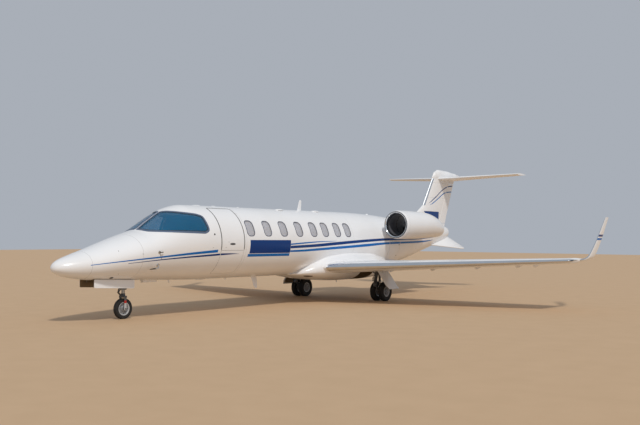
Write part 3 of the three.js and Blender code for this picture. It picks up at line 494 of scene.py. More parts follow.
def nearest_line(material, coordinate, lines_mm):
    """Distance in metres to the nearest of several planes across one coordinate."""
    nearest = None
    for line in lines_mm:
        offset = calculated(material, "SUBTRACT", coordinate, line * MM)
        gap = calculated(material, "ABSOLUTE", offset)
        nearest = gap if nearest is None else calculated(material, "MINIMUM", nearest, gap)
    return nearest


def enamel(name, colour, joints=None, roughness=0.24, dirt=0.05, **inputs):
    """Gloss enamel, with joints as {"axis": "X", "Y" or "Z", "lines": places in mm}."""
    base = linear(colour)
    coat = {"Coat_Weight": 0.3, "Coat_Roughness": 0.12}
    material = shader(name, Base_Color=base, **(coat | inputs))
    cloud = speckle(material, 900, 1.0)
    grime = tuple(c * shade for c, shade in zip(base, (0.80, 0.78, 0.74))) + (1.0,)
    colour_out = blended(material, spread(material, cloud, 0.0, dirt * 4, 0.45, 0.8), base, grime)
    height = spread(material, speckle(material, 400, 0.0), 0.0, 0.35)
    if joints:
        split = add_node(material, "ShaderNodeSeparateXYZ", i0=place_of(material))
        distance = nearest_line(material, split.outputs[joints["axis"]], joints["lines"])
        groove = spread(material, distance, 1.0, 0.0, 0.0003, JOINT_WIDTH / 2 * MM)
        colour_out = blended(material, groove, colour_out, linear("#8e8c88"))
        height = calculated(material, "SUBTRACT", height, groove)
    sheen = spread(material, speckle(material, 350, 1.0), roughness - 0.02, roughness + 0.03)
    connect(material, Base_Color=colour_out, Roughness=sheen,
            Normal=bumped(material, height, 0.5, 0.35))
    return material


def stations_to_y(*stations):
    return [at(station) for station in stations]


FRAME_STATIONS = (650, 1765, 4840, 9400, 13200, 15500)
WHITE = "#eff0f2"
fuselage_paint = enamel("gloss_white_enamel_on_riveted_skin", WHITE,
                        {"axis": "Y", "lines": stations_to_y(*FRAME_STATIONS)})
WING_RIBS = [side * x for x in (1150, 2330, 4170, 4455, 6620) for side in (-1, 1)]
wing_paint = enamel("gloss_white_enamel_on_wing_skin", WHITE, {"axis": "X", "lines": WING_RIBS})
tail_paint = enamel("gloss_white_enamel_on_tail_skin", WHITE,
                    {"axis": "Z", "lines": [2700, 3250, 3790]})
composite_paint = enamel("gloss_white_enamel_on_composite", WHITE, roughness=0.22)
matt_coat = {"roughness": 0.2, "dirt": 0.02, "Coat_Weight": 0.0, "Specular_IOR_Level": 0.3}
navy_paint = enamel("navy_blue_stripe_enamel", "#00377a", **matt_coat)
blue_paint = enamel("bright_blue_stripe_enamel", "#0069b8", **matt_coat)
# Dark grey for the door seals, and painted shade for the shadow in the door gaps.
door_shadow = finish("door_seal_rubber_and_painted_gap_shade", "#545555", "#626363", 40, bump=(6, 0.3), Roughness=0.65)
print("paints:", len(bpy.data.materials))

# %% [markdown]
# The floor is one large plain sheet the colour of pale concrete. Its grain is so faint that it only
# keeps reflections from looking printed. A bare colour would do the same job less well.

# %% Floor
FLOOR_SIZE = 160.0


def floor_finish():
    """Pale warm concrete: broomed, so nearly matt, with a soft mottle half a metre across."""
    material = shader("pale_concrete_floor", Roughness=0.85)
    mottle = speckle(material, 500, 5.0)
    connect(material, Base_Color=blended(material, mottle, linear("#c3a481"), linear("#cdae8b")),
            Normal=bumped(material, speckle(material, 12), 0.8, 0.4))
    return material


floor_mesh = bpy.data.meshes.new("floor")
floor_half = FLOOR_SIZE / 2
floor_mesh.from_pydata(
    [(-floor_half, -floor_half, 0), (floor_half, -floor_half, 0),
     (floor_half, floor_half, 0), (-floor_half, floor_half, 0)], [], [(0, 1, 2, 3)])
floor_mesh.materials.append(floor_finish())
floor = bpy.data.objects.new("floor", floor_mesh)
bpy.context.scene.collection.objects.link(floor)
floor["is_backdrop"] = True
tell("floor")

# %% Soft light
world = bpy.data.worlds.new("pale_studio")
bpy.context.scene.world = world
world.use_nodes = True
world.node_tree.nodes["Background"].inputs["Color"].default_value = linear("#e6eefa")
world.node_tree.nodes["Background"].inputs["Strength"].default_value = 0.50

# One lamp high over the left of the nose casts the soft-edged shadow under the machine, and a
# weaker, wider one fills in low from the left. A sun lamp with a wide disc lights all of it evenly.
LAMPS = [  # name, towards the lamp, strength, disc in degrees, colour
    ("key", (0.57, -0.38, 0.75), 1.85, 5.5, "#fffaf2"),
    ("fill", (0.85, -0.10, 0.30), 0.08, 60, "#f4f7ff"),
]
for name, towards, strength, disc, colour in LAMPS:
    light = bpy.data.lights.new(name, "SUN")
    light.energy, light.angle, light.color = strength, math.radians(disc), linear(colour)[:3]
    lamp = bpy.data.objects.new(name, light)
    bpy.context.scene.collection.objects.link(lamp)
    lamp.location = Vector(towards) * 40
    lamp.rotation_euler = Vector(towards).to_track_quat("Z", "Y").to_euler()
bpy.context.scene.view_settings.view_transform = "Standard"
print("lamps:", len(LAMPS))

# %% [markdown]
# ## The fuselage surface
#
# One table holds the fuselage's crown, keel, half width and widest height at 24 stations, exactly
# as the CAD model has them. A smooth curve runs through each column, so the hull is one function
# of a station and an angle, and doors, panes and stripes can all lie exactly on it. Subdividing
# the CAD's flat panels would have rounded its edges away from the doors and windows.

# %% Hull function
FUSELAGE = np.array([  # station, crown, keel, half width, widest height
    [0, 1153, 1153, 0, 1153], [30, 1236, 1082, 105, 1153], [110, 1300, 1030, 190, 1158],
    [250, 1362, 975, 283, 1168], [450, 1428, 930, 375, 1186], [850, 1553, 884, 516, 1235],
    [1340, 1718, 862, 640, 1330], [1930, 1902, 842, 742, 1450], [2060, 1934, 838, 760, 1476],
    [2400, 2143, 828, 800, 1545],
    [2850, 2402, 815, 842, 1620], [3100, 2500, 808, 860, 1650], [3400, 2560, 798, 876, 1668],
    [3930, 2566, 788, 890, 1676], [10000, 2566, 786, 890, 1676], [11300, 2535, 800, 886, 1676],
    [12300, 2470, 960, 850, 1712], [13200, 2420, 1105, 760, 1775], [14100, 2385, 1300, 630, 1840],
    [15200, 2330, 1540, 460, 1925], [16200, 2252, 1770, 275, 2008], [16400, 2222, 1868, 190, 2040],
    [16480, 2170, 1930, 125, 2052], [16510, 2115, 1990, 55, 2055],
], float)
GIRTH = 880.0  # mm of hull for one radian, so that an outline on the hull keeps its shape


def smooth_curves(table, places):
    """Each column of a table against its first, by cubic pieces that never overshoot a row: the
    slope at a row is the harmonic mean of the slopes beside it, or 0 at a turning point."""
    x, y = table[:, 0], table[:, 1:]
    step = np.diff(x)[:, None]
    rise = np.diff(y, axis=0) / step
    slope = np.zeros_like(y)
    product = rise[:-1] * rise[1:]
    total = np.where(np.abs(rise[:-1] + rise[1:]) < 1e-12, 1.0, rise[:-1] + rise[1:])
    slope[1:-1] = np.where(product > 0, 2 * product / total, 0.0)
    slope[0], slope[-1] = rise[0], rise[-1]
    places = np.asarray(places, float)
    row = np.clip(np.searchsorted(x, places) - 1, 0, len(x) - 2)
    width = step[row]
    t = ((places - x[row]) / width[..., 0])[..., None]
    t = np.clip(t, 0.0, 1.0)
    return ((1 + 2 * t) * (1 - t) ** 2 * y[row] + t * (1 - t) ** 2 * width * slope[row]
            + t ** 2 * (3 - 2 * t) * y[row + 1] + t ** 2 * (t - 1) * width * slope[row + 1])


HULL_TABLE = np.column_stack([np.sqrt(FUSELAGE[:, 0]), FUSELAGE[:, 1:]])


def hull_rows(station):
    """Crown, keel, half width and widest height at stations. The curves run over the square root
    of the station, which makes the nose round instead of pointed."""
    station = np.asarray(station, float)
    rows = smooth_curves(HULL_TABLE, np.sqrt(np.maximum(station, 0.0)).ravel())
    return rows.T.reshape(4, *station.shape)


def hull(station, girth, depth=0.0):
    """A point on the fuselage, or this deep under its skin. girth is an angle times GIRTH: 0 is
    the widest line of the left side, a quarter turn up is the crown. The section is four quarter
    ellipses between the crown, the two widest points and the keel."""
    station, girth = np.broadcast_arrays(np.asarray(station, float), np.asarray(girth, float))
    crown, keel, half, wide = hull_rows(station)
    across, up = np.cos(girth / GIRTH), np.sin(girth / GIRTH)
    reach = np.where(up > 0, crown - wide, wide - keel)
    deep = np.minimum(depth, 0.9 * half)
    return np.stack([(half - deep) * across, at(station), wide + (reach - deep) * up], -1) * MM


def girth_at(station, height):
    """The girth on the left side at a height in mm."""
    crown, keel, _, wide = hull_rows(np.atleast_1d(station))
    reach = np.where(height > wide, crown - wide, wide - keel)
    return np.arcsin(np.clip((height - wide) / reach, -1, 1)) * GIRTH


CROWN = math.pi / 2 * GIRTH
KEEL = -CROWN
ROUND = 2 * math.pi * GIRTH  # once round; the right side runs from KEEL down to CROWN - ROUND


def right_side(outline):
    """The mirror image of an outline on the hull."""
    outline = np.array(outline, float)
    outline[:, 1] = 2 * KEEL - outline[:, 1]
    return outline


print("hull half width at the cabin:", round(float(hull(6000, 0)[0]), 3), "m")

# %% [markdown]
# ## Cutting openings in a curved skin
#
# A doorway in a curved skin is awkward for booleans: they leave long thin faces that catch the
# light. Instead the outline is drawn in the flat space of the surface's two parameters, that flat
# region is filled with triangles, and every point is then placed by the surface's own formula.
# The true normals come from the same formula, so highlights run past an opening undisturbed.

# %% Outlines and trimmed skins
def rounded(corners, radius, step=45.0):
    """A closed outline with round corners. Each corner is a true arc, written as a rational
    quadratic curve between the points where it meets the two sides."""
    corners = np.asarray(corners, float)
    before, after = np.roll(corners, 1, 0) - corners, np.roll(corners, -1, 0) - corners
    near, far = np.linalg.norm(before, axis=1), np.linalg.norm(after, axis=1)
    before, after = unit(before), unit(after)
    turn = np.arccos(np.clip(-(before * after).sum(1), -1, 1))
    tangent = np.minimum(radius * np.tan(turn / 2), 0.499 * np.minimum(near, far))
    start, end = corners + before * tangent[:, None], corners + after * tangent[:, None]
    points = []
    for i in range(len(corners)):
        arc = max(2, int(math.ceil(turn[i] * max(tangent[i], 1) / (0.35 * step))) + 3)
        t, weight = np.linspace(0, 1, arc)[:, None], math.cos(turn[i] / 2)
        middle = 2 * t * (1 - t) * weight
        points.append(((1 - t) ** 2 * start[i] + middle * corners[i] + t ** 2 * end[i])
                      / ((1 - t) ** 2 + middle + t ** 2))
        following = start[(i + 1) % len(corners)]
        count = int(np.linalg.norm(following - end[i]) / step)
        points.append(end[i] + (following - end[i]) * np.linspace(0, 1, count + 2)[1:-1, None])
    points = np.vstack(points)
    return points[np.linalg.norm(points - np.roll(points, 1, 0), axis=1) > 0.05]


def grown(outline, distance):
    """An outline moved outwards (or inwards where negative) along its own normals."""
    outline = np.asarray(outline, float)
    along = unit(np.roll(outline, -1, 0) - np.roll(outline, 1, 0))
    x, y = outline.T
    area = (x * np.roll(y, -1) - np.roll(x, -1) * y).sum()
    out = np.column_stack([along[:, 1], -along[:, 0]]) * (1 if area > 0 else -1)
    return outline + distance * out


def softened(outline, step):
    """The same closed outline with points this far apart and its corners averaged a little."""
    closed = np.vstack([outline, outline[:1]])
    length = np.r_[0, np.cumsum(np.linalg.norm(np.diff(closed, axis=0), axis=1))]
    places = np.linspace(0, length[-1], 3 * int(length[-1] / step) + 1)[:-1]
    ring = np.column_stack([np.interp(places, length, column) for column in closed.T])
    for _ in range(2):
        ring = (np.roll(ring, 1, 0) + ring + np.roll(ring, -1, 0)) / 3
    return ring[::3]


def inside(points, outline):
    """Which points lie inside an outline: an odd number of its sides pass to their right."""
    x, y = points[:, 0][:, None], points[:, 1][:, None]
    x0, y0 = outline[:, 0][None], outline[:, 1][None]
    x1, y1 = np.roll(x0, -1, 1), np.roll(y0, -1, 1)
    crosses = (y0 > y) != (y1 > y)
    slope = np.where(y1 == y0, 1.0, y1 - y0)
    return (crosses & (x < x0 + (x1 - x0) * (y - y0) / slope)).sum(1) % 2 == 1


print("a rounded square has", len(rounded([(0, 0), (9, 0), (9, 9), (0, 9)], 2)), "points")

# %% Filling and cladding
def filled(outline, holes=(), u_lines=(), v_lines=(), clear=14.0):
    """Flat points and triangles that fill an outline except for its holes, with a grid between."""
    loops = [np.asarray(outline, float)] + [np.asarray(hole, float) for hole in holes]
    rims = np.vstack(loops)

    def within(points):
        return inside(points, loops[0]) & ~np.any([inside(points, hole) for hole in loops[1:]], 0)

    grid = np.stack(np.meshgrid(u_lines, v_lines), -1).reshape(-1, 2)
    grid = grid[within(grid)]
    for start in range(0, len(rims), 64):
        gap = np.linalg.norm(grid[:, None] - rims[None, start:start + 64], axis=2).min(1)
        grid = grid[gap > clear]
    edges, first = [], 0
    for loop in loops:
        index = np.arange(len(loop))
        edges += (np.column_stack([index, np.roll(index, -1)]) + first).tolist()
        first += len(loop)
    places = [Vector(p) for p in np.vstack([rims, grid])]
    found = delaunay_2d_cdt(places, edges, [], 0, 1e-4)
    points, triangles = np.array(found[0]), np.array(found[2])
    return points, triangles[within(points[triangles].mean(1))]


def normal_of(function, u, v, depth=0.0):
    """The outward normal: the cross product of two small steps along the surface."""
    step_u = function(u + 0.5, v, depth) - function(u - 0.5, v, depth)
    step_v = function(u, v + 0.5, depth) - function(u, v - 0.5, depth)
    return unit(np.cross(step_u, step_v))


def below(function):
    """Lets a surface function take a depth as well: straight down its normal."""
    def place(u, v, depth=0.0):
        flat = function(u, v)
        if np.ndim(depth) == 0 and depth == 0:
            return flat
        down = normal_of(lambda a, b, _: function(a, b), u, v)
        return flat - down * (np.asarray(depth, float) * MM)[..., None]
    return place


def skin(function, region, depth=0.0):
    """A single layer of a surface over a filled flat region, with its true normals."""
    flat, triangles = region
    return Shape(function(*flat.T, depth), [(triangles, 0)], normal_of(function, *flat.T, depth))


def clad(function, region, top=0.0, bottom=20.0, finishes=(0, 0, 0)):
    """A skin with thickness on a surface function(u, v, depth): the same flat region at two
    depths, joined all round its free edges. finishes are those of the outside, inside and rim."""
    flat, triangles = region
    layers = [function(*flat.T, depth) for depth in (top, bottom)]
    normals = [normal_of(function, *flat.T, top), -normal_of(function, *flat.T, bottom)]
    cell = np.round(layers[0] / MERGE + 0.137)
    _, keep, merged = np.unique(cell, axis=0, return_index=True, return_inverse=True)
    triangles = merged.ravel()[triangles]
    triangles = triangles[(triangles != np.roll(triangles, 1, 1)).all(1)]
    directed = np.vstack([triangles[:, pair] for pair in ([0, 1], [1, 2], [2, 0])])
    _, first, count = np.unique(np.sort(directed, axis=1), axis=0, return_index=True,
                                return_counts=True)
    rim = directed[first[count == 1]]
    total = len(keep)
    walls = np.hstack([rim[:, ::-1], rim + total])
    outside, within, edge = finishes
    return Shape(np.vstack([layer[keep] for layer in layers]),
                 [(triangles, outside), (triangles[:, ::-1] + total, within), (walls, edge)],
                 np.vstack([normal[keep] for normal in normals]))


print("a filled square has", len(filled([(0, 0), (9, 0), (9, 9), (0, 9)])[1]), "triangles")

# %% Fuselage sections
HULL_STEP = 62.0  # mm between points along the hull
CABIN_LINING_DEPTH = 80.0
RING = np.linspace(CROWN - ROUND, CROWN, 73)  # once round the hull, from crown to crown


def grid_outline(along, across):
    """A square-cornered outline through the outer points of a grid, so that its ends match."""
    corner = lambda u, v: np.column_stack(np.broadcast_arrays(u, v))[:-1]
    return np.vstack([corner(along, across[0]), corner(along[-1], across),
                      corner(along[::-1], across[-1]), corner(along[0], across[::-1])])


def hull_section(front, rear, holes=(), depth=45.0):
    """A whole ring of the fuselage between two stations, less some openings."""
    along = np.linspace(front, rear, max(2, int((rear - front) / HULL_STEP) + 1))
    region = filled(grid_outline(along, RING), holes, along[1:-1], RING[1:-1])
    return clad(hull, region, 0.0, depth, (0, 1, 1))


def hull_patch(outline, holes=(), top=0.0, depth=20.0, finishes=(0, 0, 0), step=40.0):
    """A panel that lies in the hull, such as a door, a pane or a stripe."""
    lines = [np.linspace(low, high, max(3, int((high - low) / step) + 2))[1:-1]
             for low, high in zip(outline.min(0), outline.max(0))]
    return clad(hull, filled(outline, holes, *lines, clear=0.3 * step), top, depth, finishes)


print("points once round the hull:", len(RING))

# %% Openings in the fuselage
DOOR_FRONT, DOOR_REAR = 3970.0, 4760.0
DOOR_TOP, DOOR_SPLIT, DOOR_BOTTOM = (math.radians(a) * GIRTH for a in (67.5, -12.0, -57.0))
DOOR_GAP = 6.0
BAGGAGE_DOOR = {"front": 11330, "rear": 11960, "low": 1150, "high": 1720, "corner": 60}
WINDOW_STATIONS = (5025, 5665, 6295, 6935, 7555, 8080, 8650, 9145)
WINDOW = {"width": 265, "height": 400, "middle": 2036, "corner": 100}
NOSE_BAY = {"half": 200, "front": 870, "rear": 1895}
BELLY_BAY = {"front": 9560, "rear": 10240, "near": 330, "top": 985}


def sector(front, rear, low, high, radius, step=45.0):
    """A rectangle with round corners."""
    return rounded([(front, low), (rear, low), (rear, high), (front, high)], radius, step)


def window_outline(station, grow=0.0):
    """The cabin window: an upright outline with nearly half-round ends."""
    middle = float(girth_at(station, WINDOW["middle"])[0])
    half_width, half_height = WINDOW["width"] / 2 + grow, WINDOW["height"] / 2 + grow
    return sector(station - half_width, station + half_width, middle - half_height,
                  middle + half_height, WINDOW["corner"] + grow, 26)


def baggage_outline(grow=0.0):
    front, rear = BAGGAGE_DOOR["front"] - grow, BAGGAGE_DOOR["rear"] + grow
    low, high = BAGGAGE_DOOR["low"] - grow, BAGGAGE_DOOR["high"] + grow
    corners = (front, low), (rear, low), (rear, high), (front, high)
    return rounded([(s, float(girth_at(s, z)[0])) for s, z in corners],
                   BAGGAGE_DOOR["corner"] + grow)


def nose_bay_outline():
    """Where the nose wheel bay, straight sided at x = +-200, breaks through the round keel."""
    front, rear = NOSE_BAY["front"], NOSE_BAY["rear"]
    stations = np.linspace(front, rear, 18)
    half = hull_rows(stations)[2]
    edge = np.column_stack([stations, -np.arccos(NOSE_BAY["half"] / half) * GIRTH])
    far = right_side(edge)[::-1]
    back = np.linspace(edge[-1], far[0], 8)[1:-1]
    return np.vstack([edge, back, far, np.linspace(far[-1], edge[0], 6)[1:-1]])


def belly_bay_outline():
    """Where the left main wheel bay cuts the belly, out of sight above the wing fairing."""
    half, widest = FUSELAGE[FUSELAGE[:, 0] == 10000][0, 3:]
    low = -math.acos(BELLY_BAY["near"] / half) * GIRTH
    high = -math.asin((widest - BELLY_BAY["top"]) / half) * GIRTH
    return sector(BELLY_BAY["front"], BELLY_BAY["rear"], low, high, 5)


WINDSHIELD = [(2050, 1934), (2450, 1924), (3000, 1915), (3480, 1905), (3610, 1960), (3565, 2290),
              (3420, 2330), (3130, 2362), (2860, 2392), (2540, 2420)]
POST_HALF = 32.0


def windshield_outline(grow=0.0):
    """The left windshield. Its side view is an outline of stations and heights, and it stops beside
    the centre post, where that view runs past the crown."""
    station, height = rounded(WINDSHIELD, 60, 60).T
    post = np.arccos(POST_HALF / hull_rows(station)[2]) * GIRTH
    girth = np.minimum(girth_at(station, height), post)
    outline = softened(np.column_stack([station, girth]), 36)
    return grown(outline, grow) if grow else outline


print("windshield outline points:", len(windshield_outline()))

# %% [markdown]
# The nose is a glass fibre radome, and the rest is aluminium skin on frames. Seven skins follow
# the CAD's sections. Each has a real inside face, because the doors and panes show it.

# %% Fuselage skins
cabin_lining = finish("padded_cabin_wall_lining", "#cdc5b6", "#dcd5c8", 9, bump=(3, 0.4),
                      Roughness=0.75)
skins = [fuselage_paint, cabin_lining]


def nose_cone():
    """The radome: rings of the hull that close at the tip. Their stations grow with the square
    of a steady step, so the rings crowd where the tip curves most."""
    rows = np.linspace(0, math.sqrt(850), 30) ** 2
    rings = hull(rows[:, None], RING[None, :-1])
    return loft(rings)


def tail_end():
    """The tail cone: rings that crowd towards its blunt end, and a small flat cap."""
    rows = np.r_[np.linspace(13200, 16200, 50), 16510 - 310 * np.linspace(1, 0, 16)[1:] ** 1.6]
    return loft(hull(rows[:, None], RING[None, :-1]))


both_sides = lambda outline: [outline, right_side(outline)]
doorway = sector(DOOR_FRONT, DOOR_REAR, DOOR_BOTTOM, DOOR_TOP, 55)
window_holes = [hole for s in WINDOW_STATIONS for hole in both_sides(window_outline(s))]
bays = [baggage_outline()] + both_sides(belly_bay_outline())
cabin_depth = CABIN_LINING_DEPTH
make("radome", nose_cone(), skins, slot="white_composite")
for name, section in (
        ("nose_section", hull_section(850, 1930, [nose_bay_outline()])),
        ("cockpit_shell", hull_section(1930, 3930, both_sides(windshield_outline()), cabin_depth)),
        ("entry_frame_shell", hull_section(3930, 4800, [doorway], cabin_depth)),
        ("cabin_shell", hull_section(4800, 9400, window_holes, cabin_depth)),
        ("aft_fuselage", hull_section(9400, 13200, bays)),
        ("tail_cone", tail_end())):
    make(name, section, skins, slot="white_paint")
print("fuselage skins:", 7)

# %% [markdown]
# ## Glass, seals and window frames
#
# A windshield is laminated glass with a heating film. Its dark blue-green colour is painted
# reflection of a blue sky, over the film's own faint tint. It sits on black sealant inside a
# painted frame. A cabin window is clear acrylic over a white pleated shade, in an oval frame. Each
# layer is its own thin shell at its own depth in the hull, so they stay apart from any side.

# %% Glass finishes
# The windshield's blue-green colour is mostly painted reflection of a blue sky.
windshield_glass = finish("heated_windshield_glass_with_painted_sky_reflection", "#1c6c9c", "#2b7ca8", 300,
                          bump=(160, 0.3, 0.15), Roughness=0.03, IOR=1.50, Alpha=0.42)
acrylic = finish("clear_stretched_acrylic_pane", "#d9dde6", "#e4e7ee", 200, bump=(90, 0.3, 0.2),
                 Roughness=0.04, IOR=1.49, Alpha=0.22)
shade_fabric = finish("pleated_shade_fabric", "#aeadb4", "#c0bfc4", 5, Roughness=0.8,
                      Sheen_Weight=0.2)
window_frame_finish = finish("anodised_aluminium_window_frame", "#585b6d", "#696c7e", 30,
                             Metallic=0.55, Roughness=0.42)
windshield_frame_finish = finish("blue_grey_windshield_retainer", "#5d6d86", "#6c7c94", 40,
                                 Metallic=0.4, Roughness=0.4)
sealant = finish("black_windshield_sealant", "#191b20", "#24272c", 20, bump=(5, 0.2), Roughness=0.6)
print("finishes so far:", len(bpy.data.materials))


def hull_band(outer, inner, top, depth):
    """A flat strip between two outlines with the same number of points, following the hull."""
    corners = [hull(*line.T, d)
               for line, d in ((outer, top), (inner, top), (inner, depth), (outer, depth))]
    return surface(np.array(corners), wrap_rows=True, wrap_columns=True)


# %% Windshields
glass_edge = windshield_outline()
make_pair("windshield", hull_patch(windshield_outline(-20), (), 5, 24, step=55), [windshield_glass],
          slot="window_glass")
for name, outer, inner, top, material in (
        ("windshield_frame", 25, -24, -1.6, windshield_frame_finish),
        ("windshield_sealant", -24.5, -40, 1, sealant)):
    make_pair(name, hull_band(grown(glass_edge, outer), grown(glass_edge, inner), top, 4),
              [material], slot="dark_trim", sharp=50)
tell("windshields")

# %% Cabin windows
PLEAT = 16.0


def pleated(station, girth, depth=0.0):
    """The shade's folds: its depth in the hull swings by 4 mm once every pleat of its height."""
    swing = np.abs((girth / PLEAT) % 1.0 - 0.5) * 8
    return hull(station, girth, depth + swing)


def window_shade(station):
    """One lowered shade, with a line of points at each crease."""
    outline = window_outline(station, -3)
    low, high = outline.min(0), outline.max(0)
    creases = np.arange(math.ceil(low[1] / (PLEAT / 2)), high[1] / (PLEAT / 2)) * PLEAT / 2
    region = filled(outline, (), np.linspace(low[0], high[0], 5)[1:-1], creases, clear=2.5)
    return clad(pleated, region, 26, 29)


edges = [window_outline(station) for station in WINDOW_STATIONS]
frames_of = [hull_band(grown(edge, 15), grown(edge, -4), -1.3, 12) for edge in edges]
make_pair("cabin_window_frames", joined(frames_of), [window_frame_finish], slot="dark_trim",
          sharp=50)
panes_of = [hull_patch(window_outline(s, -4), (), 3, 10) for s in WINDOW_STATIONS]
make_pair("cabin_windows", joined(panes_of), [acrylic], slot="window_glass")
make_pair("cabin_window_shades", joined(window_shade(s) for s in WINDOW_STATIONS), [shade_fabric],
          slot="window_glass")
print("cabin windows a side:", len(WINDOW_STATIONS))

# %% [markdown]
# ## Doors
#
# The entry door opens in two halves like a shell: the upper one lifts on a hinge at its top, and
# the lower one drops on a hinge at its sill and carries the steps. Each half is a panel of the
# hull itself, as thick as the cabin wall. A dark grey band round each half is partly its rubber
# seal and partly painted shade, standing for the shadow in the door gap.

# %% Entry door and baggage door
door_handle_finish = finish("dark_anodised_door_handle", "#55585c", "#66696d", 12, Metallic=0.7,
                            Roughness=0.4)


def hull_strip(line, width, finish=0):
    """A flat strip along an open line on the hull, from the line inwards to this width."""
    along = unit(np.gradient(line, axis=0))
    inner = line + width * np.column_stack([-along[:, 1], along[:, 0]])
    corners = [hull(*edge.T, depth)
               for edge, depth in ((line, -0.9), (inner, -0.9), (inner, 1.0), (line, 1.0))]
    return loft(np.stack(corners, 1), finish)


def upper_part(outline, split):
    """The points of an outline above a girth, from its rear end over the top to its front end."""
    first = int(np.argmax((outline[:, 1] > split) & (np.roll(outline[:, 1], 1) <= split)))
    turned_ = np.roll(outline, -first, 0)
    return turned_[turned_[:, 1] > split]


def door_leaf(low, high, radius):
    """One half of the door: a panel of the hull, as thick as the cabin wall."""
    outline = sector(DOOR_FRONT + DOOR_GAP, DOOR_REAR - DOOR_GAP, low, high, radius)
    return hull_patch(outline, (), 0.0, CABIN_LINING_DEPTH - 1, finishes=(0, 1, 2), step=60)


def hull_button(station, height, half_width, half_height, raise_=2.0, finish=0):
    """A small oval plate that lies on the left side of the hull."""
    oval = np.column_stack([half_width * np.cos(circle(24)), half_height * np.sin(circle(24))])
    outline = oval + [station, float(girth_at(station, height)[0])]
    return hull_patch(outline, (), -raise_, 2.0, finishes=(finish,) * 3, step=half_height)


# The third door finish is partly rubber seal and partly painted gap shade. It covers each leaf's
# rim, the strip along the upper leaf's edge, the handle's inner oval and two small buttons.
door_finishes = [fuselage_paint, cabin_lining, door_shadow, door_handle_finish]
upper_leaf = door_leaf(DOOR_SPLIT + 3, DOOR_TOP - DOOR_GAP, np.array([5, 5, 50, 50]))
leaf_edge = sector(DOOR_FRONT + DOOR_GAP, DOOR_REAR - DOOR_GAP, DOOR_SPLIT - 80,
                   DOOR_TOP - DOOR_GAP, 50)
upper_leaf += hull_strip(upper_part(leaf_edge, DOOR_SPLIT + 8), 8, 2)
upper_leaf += hull_button(4347, 1643, 95, 26, 1.0, 3) + hull_button(4347, 1643, 62, 11, 5.0, 2)
upper_leaf += hull_button(4120, 1560, 9, 9, 1.5, 2) + hull_button(4210, 1690, 9, 9, 1.5, 2)
make("entry_door_upper", upper_leaf, door_finishes, "upper_door", "white_paint")
lower_leaf = door_leaf(DOOR_BOTTOM + DOOR_GAP, DOOR_SPLIT - 3, np.array([50, 50, 5, 5]))
make("entry_door_lower", lower_leaf, door_finishes, "lower_door", "white_paint")

hatch = baggage_outline(-9)
hatch_leaf = hull_patch(hatch, (), 0.0, 44, finishes=(0, 1, 0), step=60)
for height in (1270, 1600):
    hatch_leaf += hull_button(11900, height, 40, 13, 1.5, 3)
make("baggage_door", hatch_leaf, door_finishes, "baggage_hatch", "white_paint")

# This dark strip round the doorway is partly its seal and partly painted shade for the gap's
# shadow.
frame_strip = hull_strip(upper_part(grown(doorway, 12), DOOR_SPLIT), 11.5)
make("door_frame_seal", frame_strip, [door_shadow], slot="dark_trim")
print("door leaves:", 3)

# %% [markdown]
# ## Stripes and blank plates
#
# The livery is two blue stripes that swell from the nose, a pair of plain blue plates behind the
# door, and three stripes that run on under the engines. Paint could be drawn in the white paint's
# own material, but a thin film with its own edge keeps a stripe exact from any distance and lets
# it stop at the door's seam. The films stand 0.9 mm proud.

# %% Stripe films
FILM = 0.9


def stripe(rows, start=None, end=None):
    """A film between two lines on the hull. Each row is a station, the top height and the bottom
    height in mm; smooth curves join the rows. A start or an end cuts the film short."""
    rows = np.array(rows, float)
    start, end = start or rows[0, 0], end or rows[-1, 0]
    places = np.linspace(start, end, max(8, int((end - start) / 45)))
    heights = smooth_curves(rows, places)
    across = np.linspace(0, 1, max(2, 2 + int(np.ptp(rows[:, 1:], axis=1).max() / 22)))[None]
    top, low = girth_at(places, heights[:, 0])[:, None], girth_at(places, heights[:, 1])[:, None]
    girth = top + (low - top) * across
    outer, inner = (hull(places[:, None], girth, d) for d in (-FILM, 0.4))
    return loft(np.concatenate([outer, inner[:, ::-1]], axis=1))


NOSE_BLUE = [(614, 1220, 1206), (921, 1255, 1239), (1544, 1319, 1295), (2240, 1381, 1346),
             (3014, 1450, 1400), (3868, 1514, 1448)]
NOSE_NAVY = [(1420, 1239, 1230), (1555, 1252, 1242), (2257, 1314, 1294), (3037, 1368, 1336),
             (3600, 1402, 1360), (3958, 1422, 1377)]
DOOR_NAVY = [(3982, 1423, 1378), (4250, 1424, 1392), (4470, 1417, 1403), (4612, 1408, 1406)]
NAVY_PLATE = [(4970, 1740, 1410), (6530, 1740, 1410)]
BLUE_PLATE = [(4930, 1398, 1330), (6530, 1398, 1330)]
AFT_PALE = [(6536, 1650, 1613), (7190, 1686, 1652), (7781, 1709, 1685), (8398, 1717, 1706),
            (8560, 1718, 1716)]
AFT_NAVY = [(6536, 1592, 1524), (7590, 1632, 1556), (8400, 1680, 1596), (9263, 1726, 1645),
            (10186, 1770, 1692), (11175, 1803, 1732), (11960, 1812, 1743), (13040, 1824, 1764),
            (14370, 1868, 1822), (15348, 1909, 1899)]
AFT_BLUE = [(6536, 1474, 1430), (7035, 1488, 1434), (7610, 1516, 1452), (8415, 1556, 1484),
            (9275, 1593, 1520), (10190, 1639, 1561), (11168, 1680, 1616), (11956, 1696, 1634),
            (13050, 1716, 1654), (14055, 1741, 1695), (14640, 1762, 1752)]
blues = [stripe(rows) for rows in (NOSE_BLUE, BLUE_PLATE, AFT_PALE)]
navies = joined(stripe(rows) for rows in (NOSE_NAVY, NAVY_PLATE, AFT_NAVY))
door_navy, hatch_blue = stripe(DOOR_NAVY), stripe(AFT_BLUE, 11345, 11945)
left_blues = joined(blues + [stripe(AFT_BLUE, end=11324), stripe(AFT_BLUE, start=11966)])
